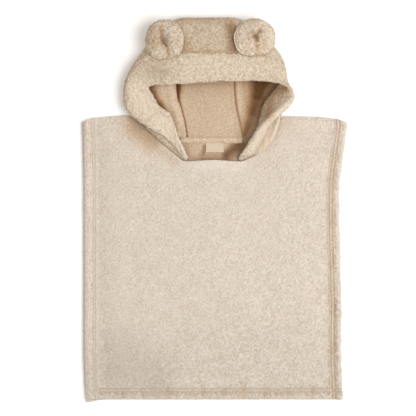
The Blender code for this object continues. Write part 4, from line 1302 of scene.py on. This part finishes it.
def towelling(towel):
    """Looped cotton pile: light tips over darker roots, curls about a loop apart, and fine fibres."""
    material, shader = new_material(towel.name, {**TOWEL_LOOKS, "Sheen Weight": towel.sheen})
    tree = material.node_tree
    loop = towel.loop * MM
    place = node(tree, "TexCoord", "Object")
    curls = node(tree, "TexNoise", "Fac", Vector=place, Scale=1 / loop, **CURL_NOISE)
    fibres = node(tree, "TexNoise", "Fac", Vector=place, Scale=FIBRES / loop, **FIBRE_NOISE)
    patches = node(tree, "TexNoise", "Fac", Vector=place, **PATCH_NOISE)
    pile_tone, warm_painted_shade, shade = (node(tree, "Attribute", "Fac", attribute_name=layer) for layer in SKIN_LAYERS)
    level = PILE_LEVEL - (CURL_CONTRAST + NAP_CONTRAST) / 2
    curled = node(tree, "Math", 0, curls, CURL_CONTRAST, level, operation="MULTIPLY_ADD")
    height = node(tree, "Math", 0, pile_tone, NAP_CONTRAST, curled, operation="MULTIPLY_ADD", use_clamp=True)
    pile = mixed(tree, height, towel.roots, towel.tips)
    patchy = node(tree, "MapRange", "Result", patches, *PATCH_TINTS)
    # Grey painted shade darkens the colour, and warm painted shade tints it
    lit = node(tree, "Math", 0, 1.0, shade, operation="SUBTRACT")
    brightness = node(tree, "Math", 0, patchy, lit, operation="MULTIPLY")
    shaded = node(tree, "VectorMath", "Vector", pile, operation="SCALE", Scale=brightness)
    tint = warm_shade_tint(tree, warm_painted_shade)
    colour = node(tree, "VectorMath", "Vector", shaded, tint, operation="MULTIPLY")
    relief = node(tree, "Math", 0, fibres, FIBRE_RELIEF, curls, operation="MULTIPLY_ADD")
    finish_shader(tree, shader, colour, relief, TOWEL_BUMP, towel.relief)
    return material


def woven(weave):
    """A plain fine weave: threads over and under in two directions."""
    material, shader = new_material(weave.name, WEAVE_LOOKS)
    tree = material.node_tree
    place = node(tree, "TexCoord", "Object")
    waves = [
        node(tree, "TexWave", "Fac", wave_type="BANDS", bands_direction=direction, Vector=place,
             Scale=WEAVE_WAVES / (weave.thread * MM), **WEAVE_NOISE)
        for direction in ("X", "Y")]
    crossing = node(tree, "Math", 0, *waves, operation="MULTIPLY")
    gaps = [part * WEAVE_GAPS for part in weave.colour]
    colour = mixed(tree, crossing, gaps, weave.colour)
    finish_shader(tree, shader, colour, crossing, WEAVE_BUMP, WEAVE_RELIEF)
    return material


# ---- stage


def make_floor():
    bpy.ops.mesh.primitive_grid_add(x_subdivisions=FLOOR_CELLS, y_subdivisions=FLOOR_CELLS, size=FLOOR_SIZE)
    floor = bpy.context.object
    floor.name = "floor"
    floor.data.materials.append(new_material("floor", FLOOR_LOOKS)[0])


def make_light(name, direction, distance, size, power):
    data = bpy.data.lights.new(name, "AREA")
    data.shape = "DISK"
    data.size = size
    data.energy = power
    light = placed(name, data)
    way = Vector(direction).normalized()
    light.location = way * distance
    light.rotation_mode = "QUATERNION"
    light.rotation_quaternion = way.to_track_quat("Z", "Y")


def make_camera():
    data = bpy.data.cameras.new("camera")
    data.sensor_width = SENSOR_WIDTH
    data.lens = SENSOR_WIDTH * CAMERA_HEIGHT / VIEW_WIDTH
    camera = placed("camera", data)
    camera.location = [place * MM for place in (*VIEW_CENTRE, CAMERA_HEIGHT)]
    bpy.context.scene.camera = camera


def make_world():
    world = bpy.data.worlds.new("studio")
    world.use_nodes = True
    background = world.node_tree.nodes["Background"]
    background.inputs["Color"].default_value = WORLD_COLOUR
    background.inputs["Strength"].default_value = WORLD_LIGHT
    bpy.context.scene.world = world
    bpy.context.scene.view_settings.view_transform = "Standard"


# ---- the garment


def build_garment():
    body, outside, inside, band, ear, trim = (towelling(towel) for towel in TOWELS)
    thread, label_cloth = (woven(weave) for weave in WEAVES)
    trees = {name: tree_of(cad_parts[name].data) for name in SHADING_NODES}
    solids = list(trees.values())
    carriers = [trees[name] for name in HOOD_NODES]
    pieces = {}
    grids = hood_grids(STATION_STEPS, SIDE_STEPS, STRIP_COLUMNS)
    for panel, grid, outer in zip(HOOD_PANELS, grids, (outside, outside, band)):
        pieces[panel.node] = hood_panel(panel, grid, [outer, inside], solids)
    pieces["hood_band"] = build_band("face_band", band, solids)
    pieces["body_back"] = body_panel("back_panel", BACK_NECK, False, body, solids)
    pieces["body_front"] = body_panel("front_panel", FRONT_NECK, True, body, solids)
    for item in EARS:
        pieces[item.name] = build_ear(item, carriers, ear)
    pieces["neck_tape"] = strip_of_cloth(TAPE, trim)
    pieces["label"] = strip_of_cloth(LABEL, label_cloth)
    for name, piece in pieces.items():
        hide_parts(name)
        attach(piece, "root")
    hem_stitches = stitch_rows("hem_stitches", hem_rows(), pieces["body_front"], thread)
    tape_stitches = stitch_rows("tape_stitches", tape_rows(), pieces["neck_tape"], thread)
    for piece, slot in ((hem_stitches, "body"), (tape_stitches, "tape")):
        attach(piece, "root")


build_garment()
make_floor()
for light in LIGHTS:
    make_light(*light)
make_world()
make_camera()
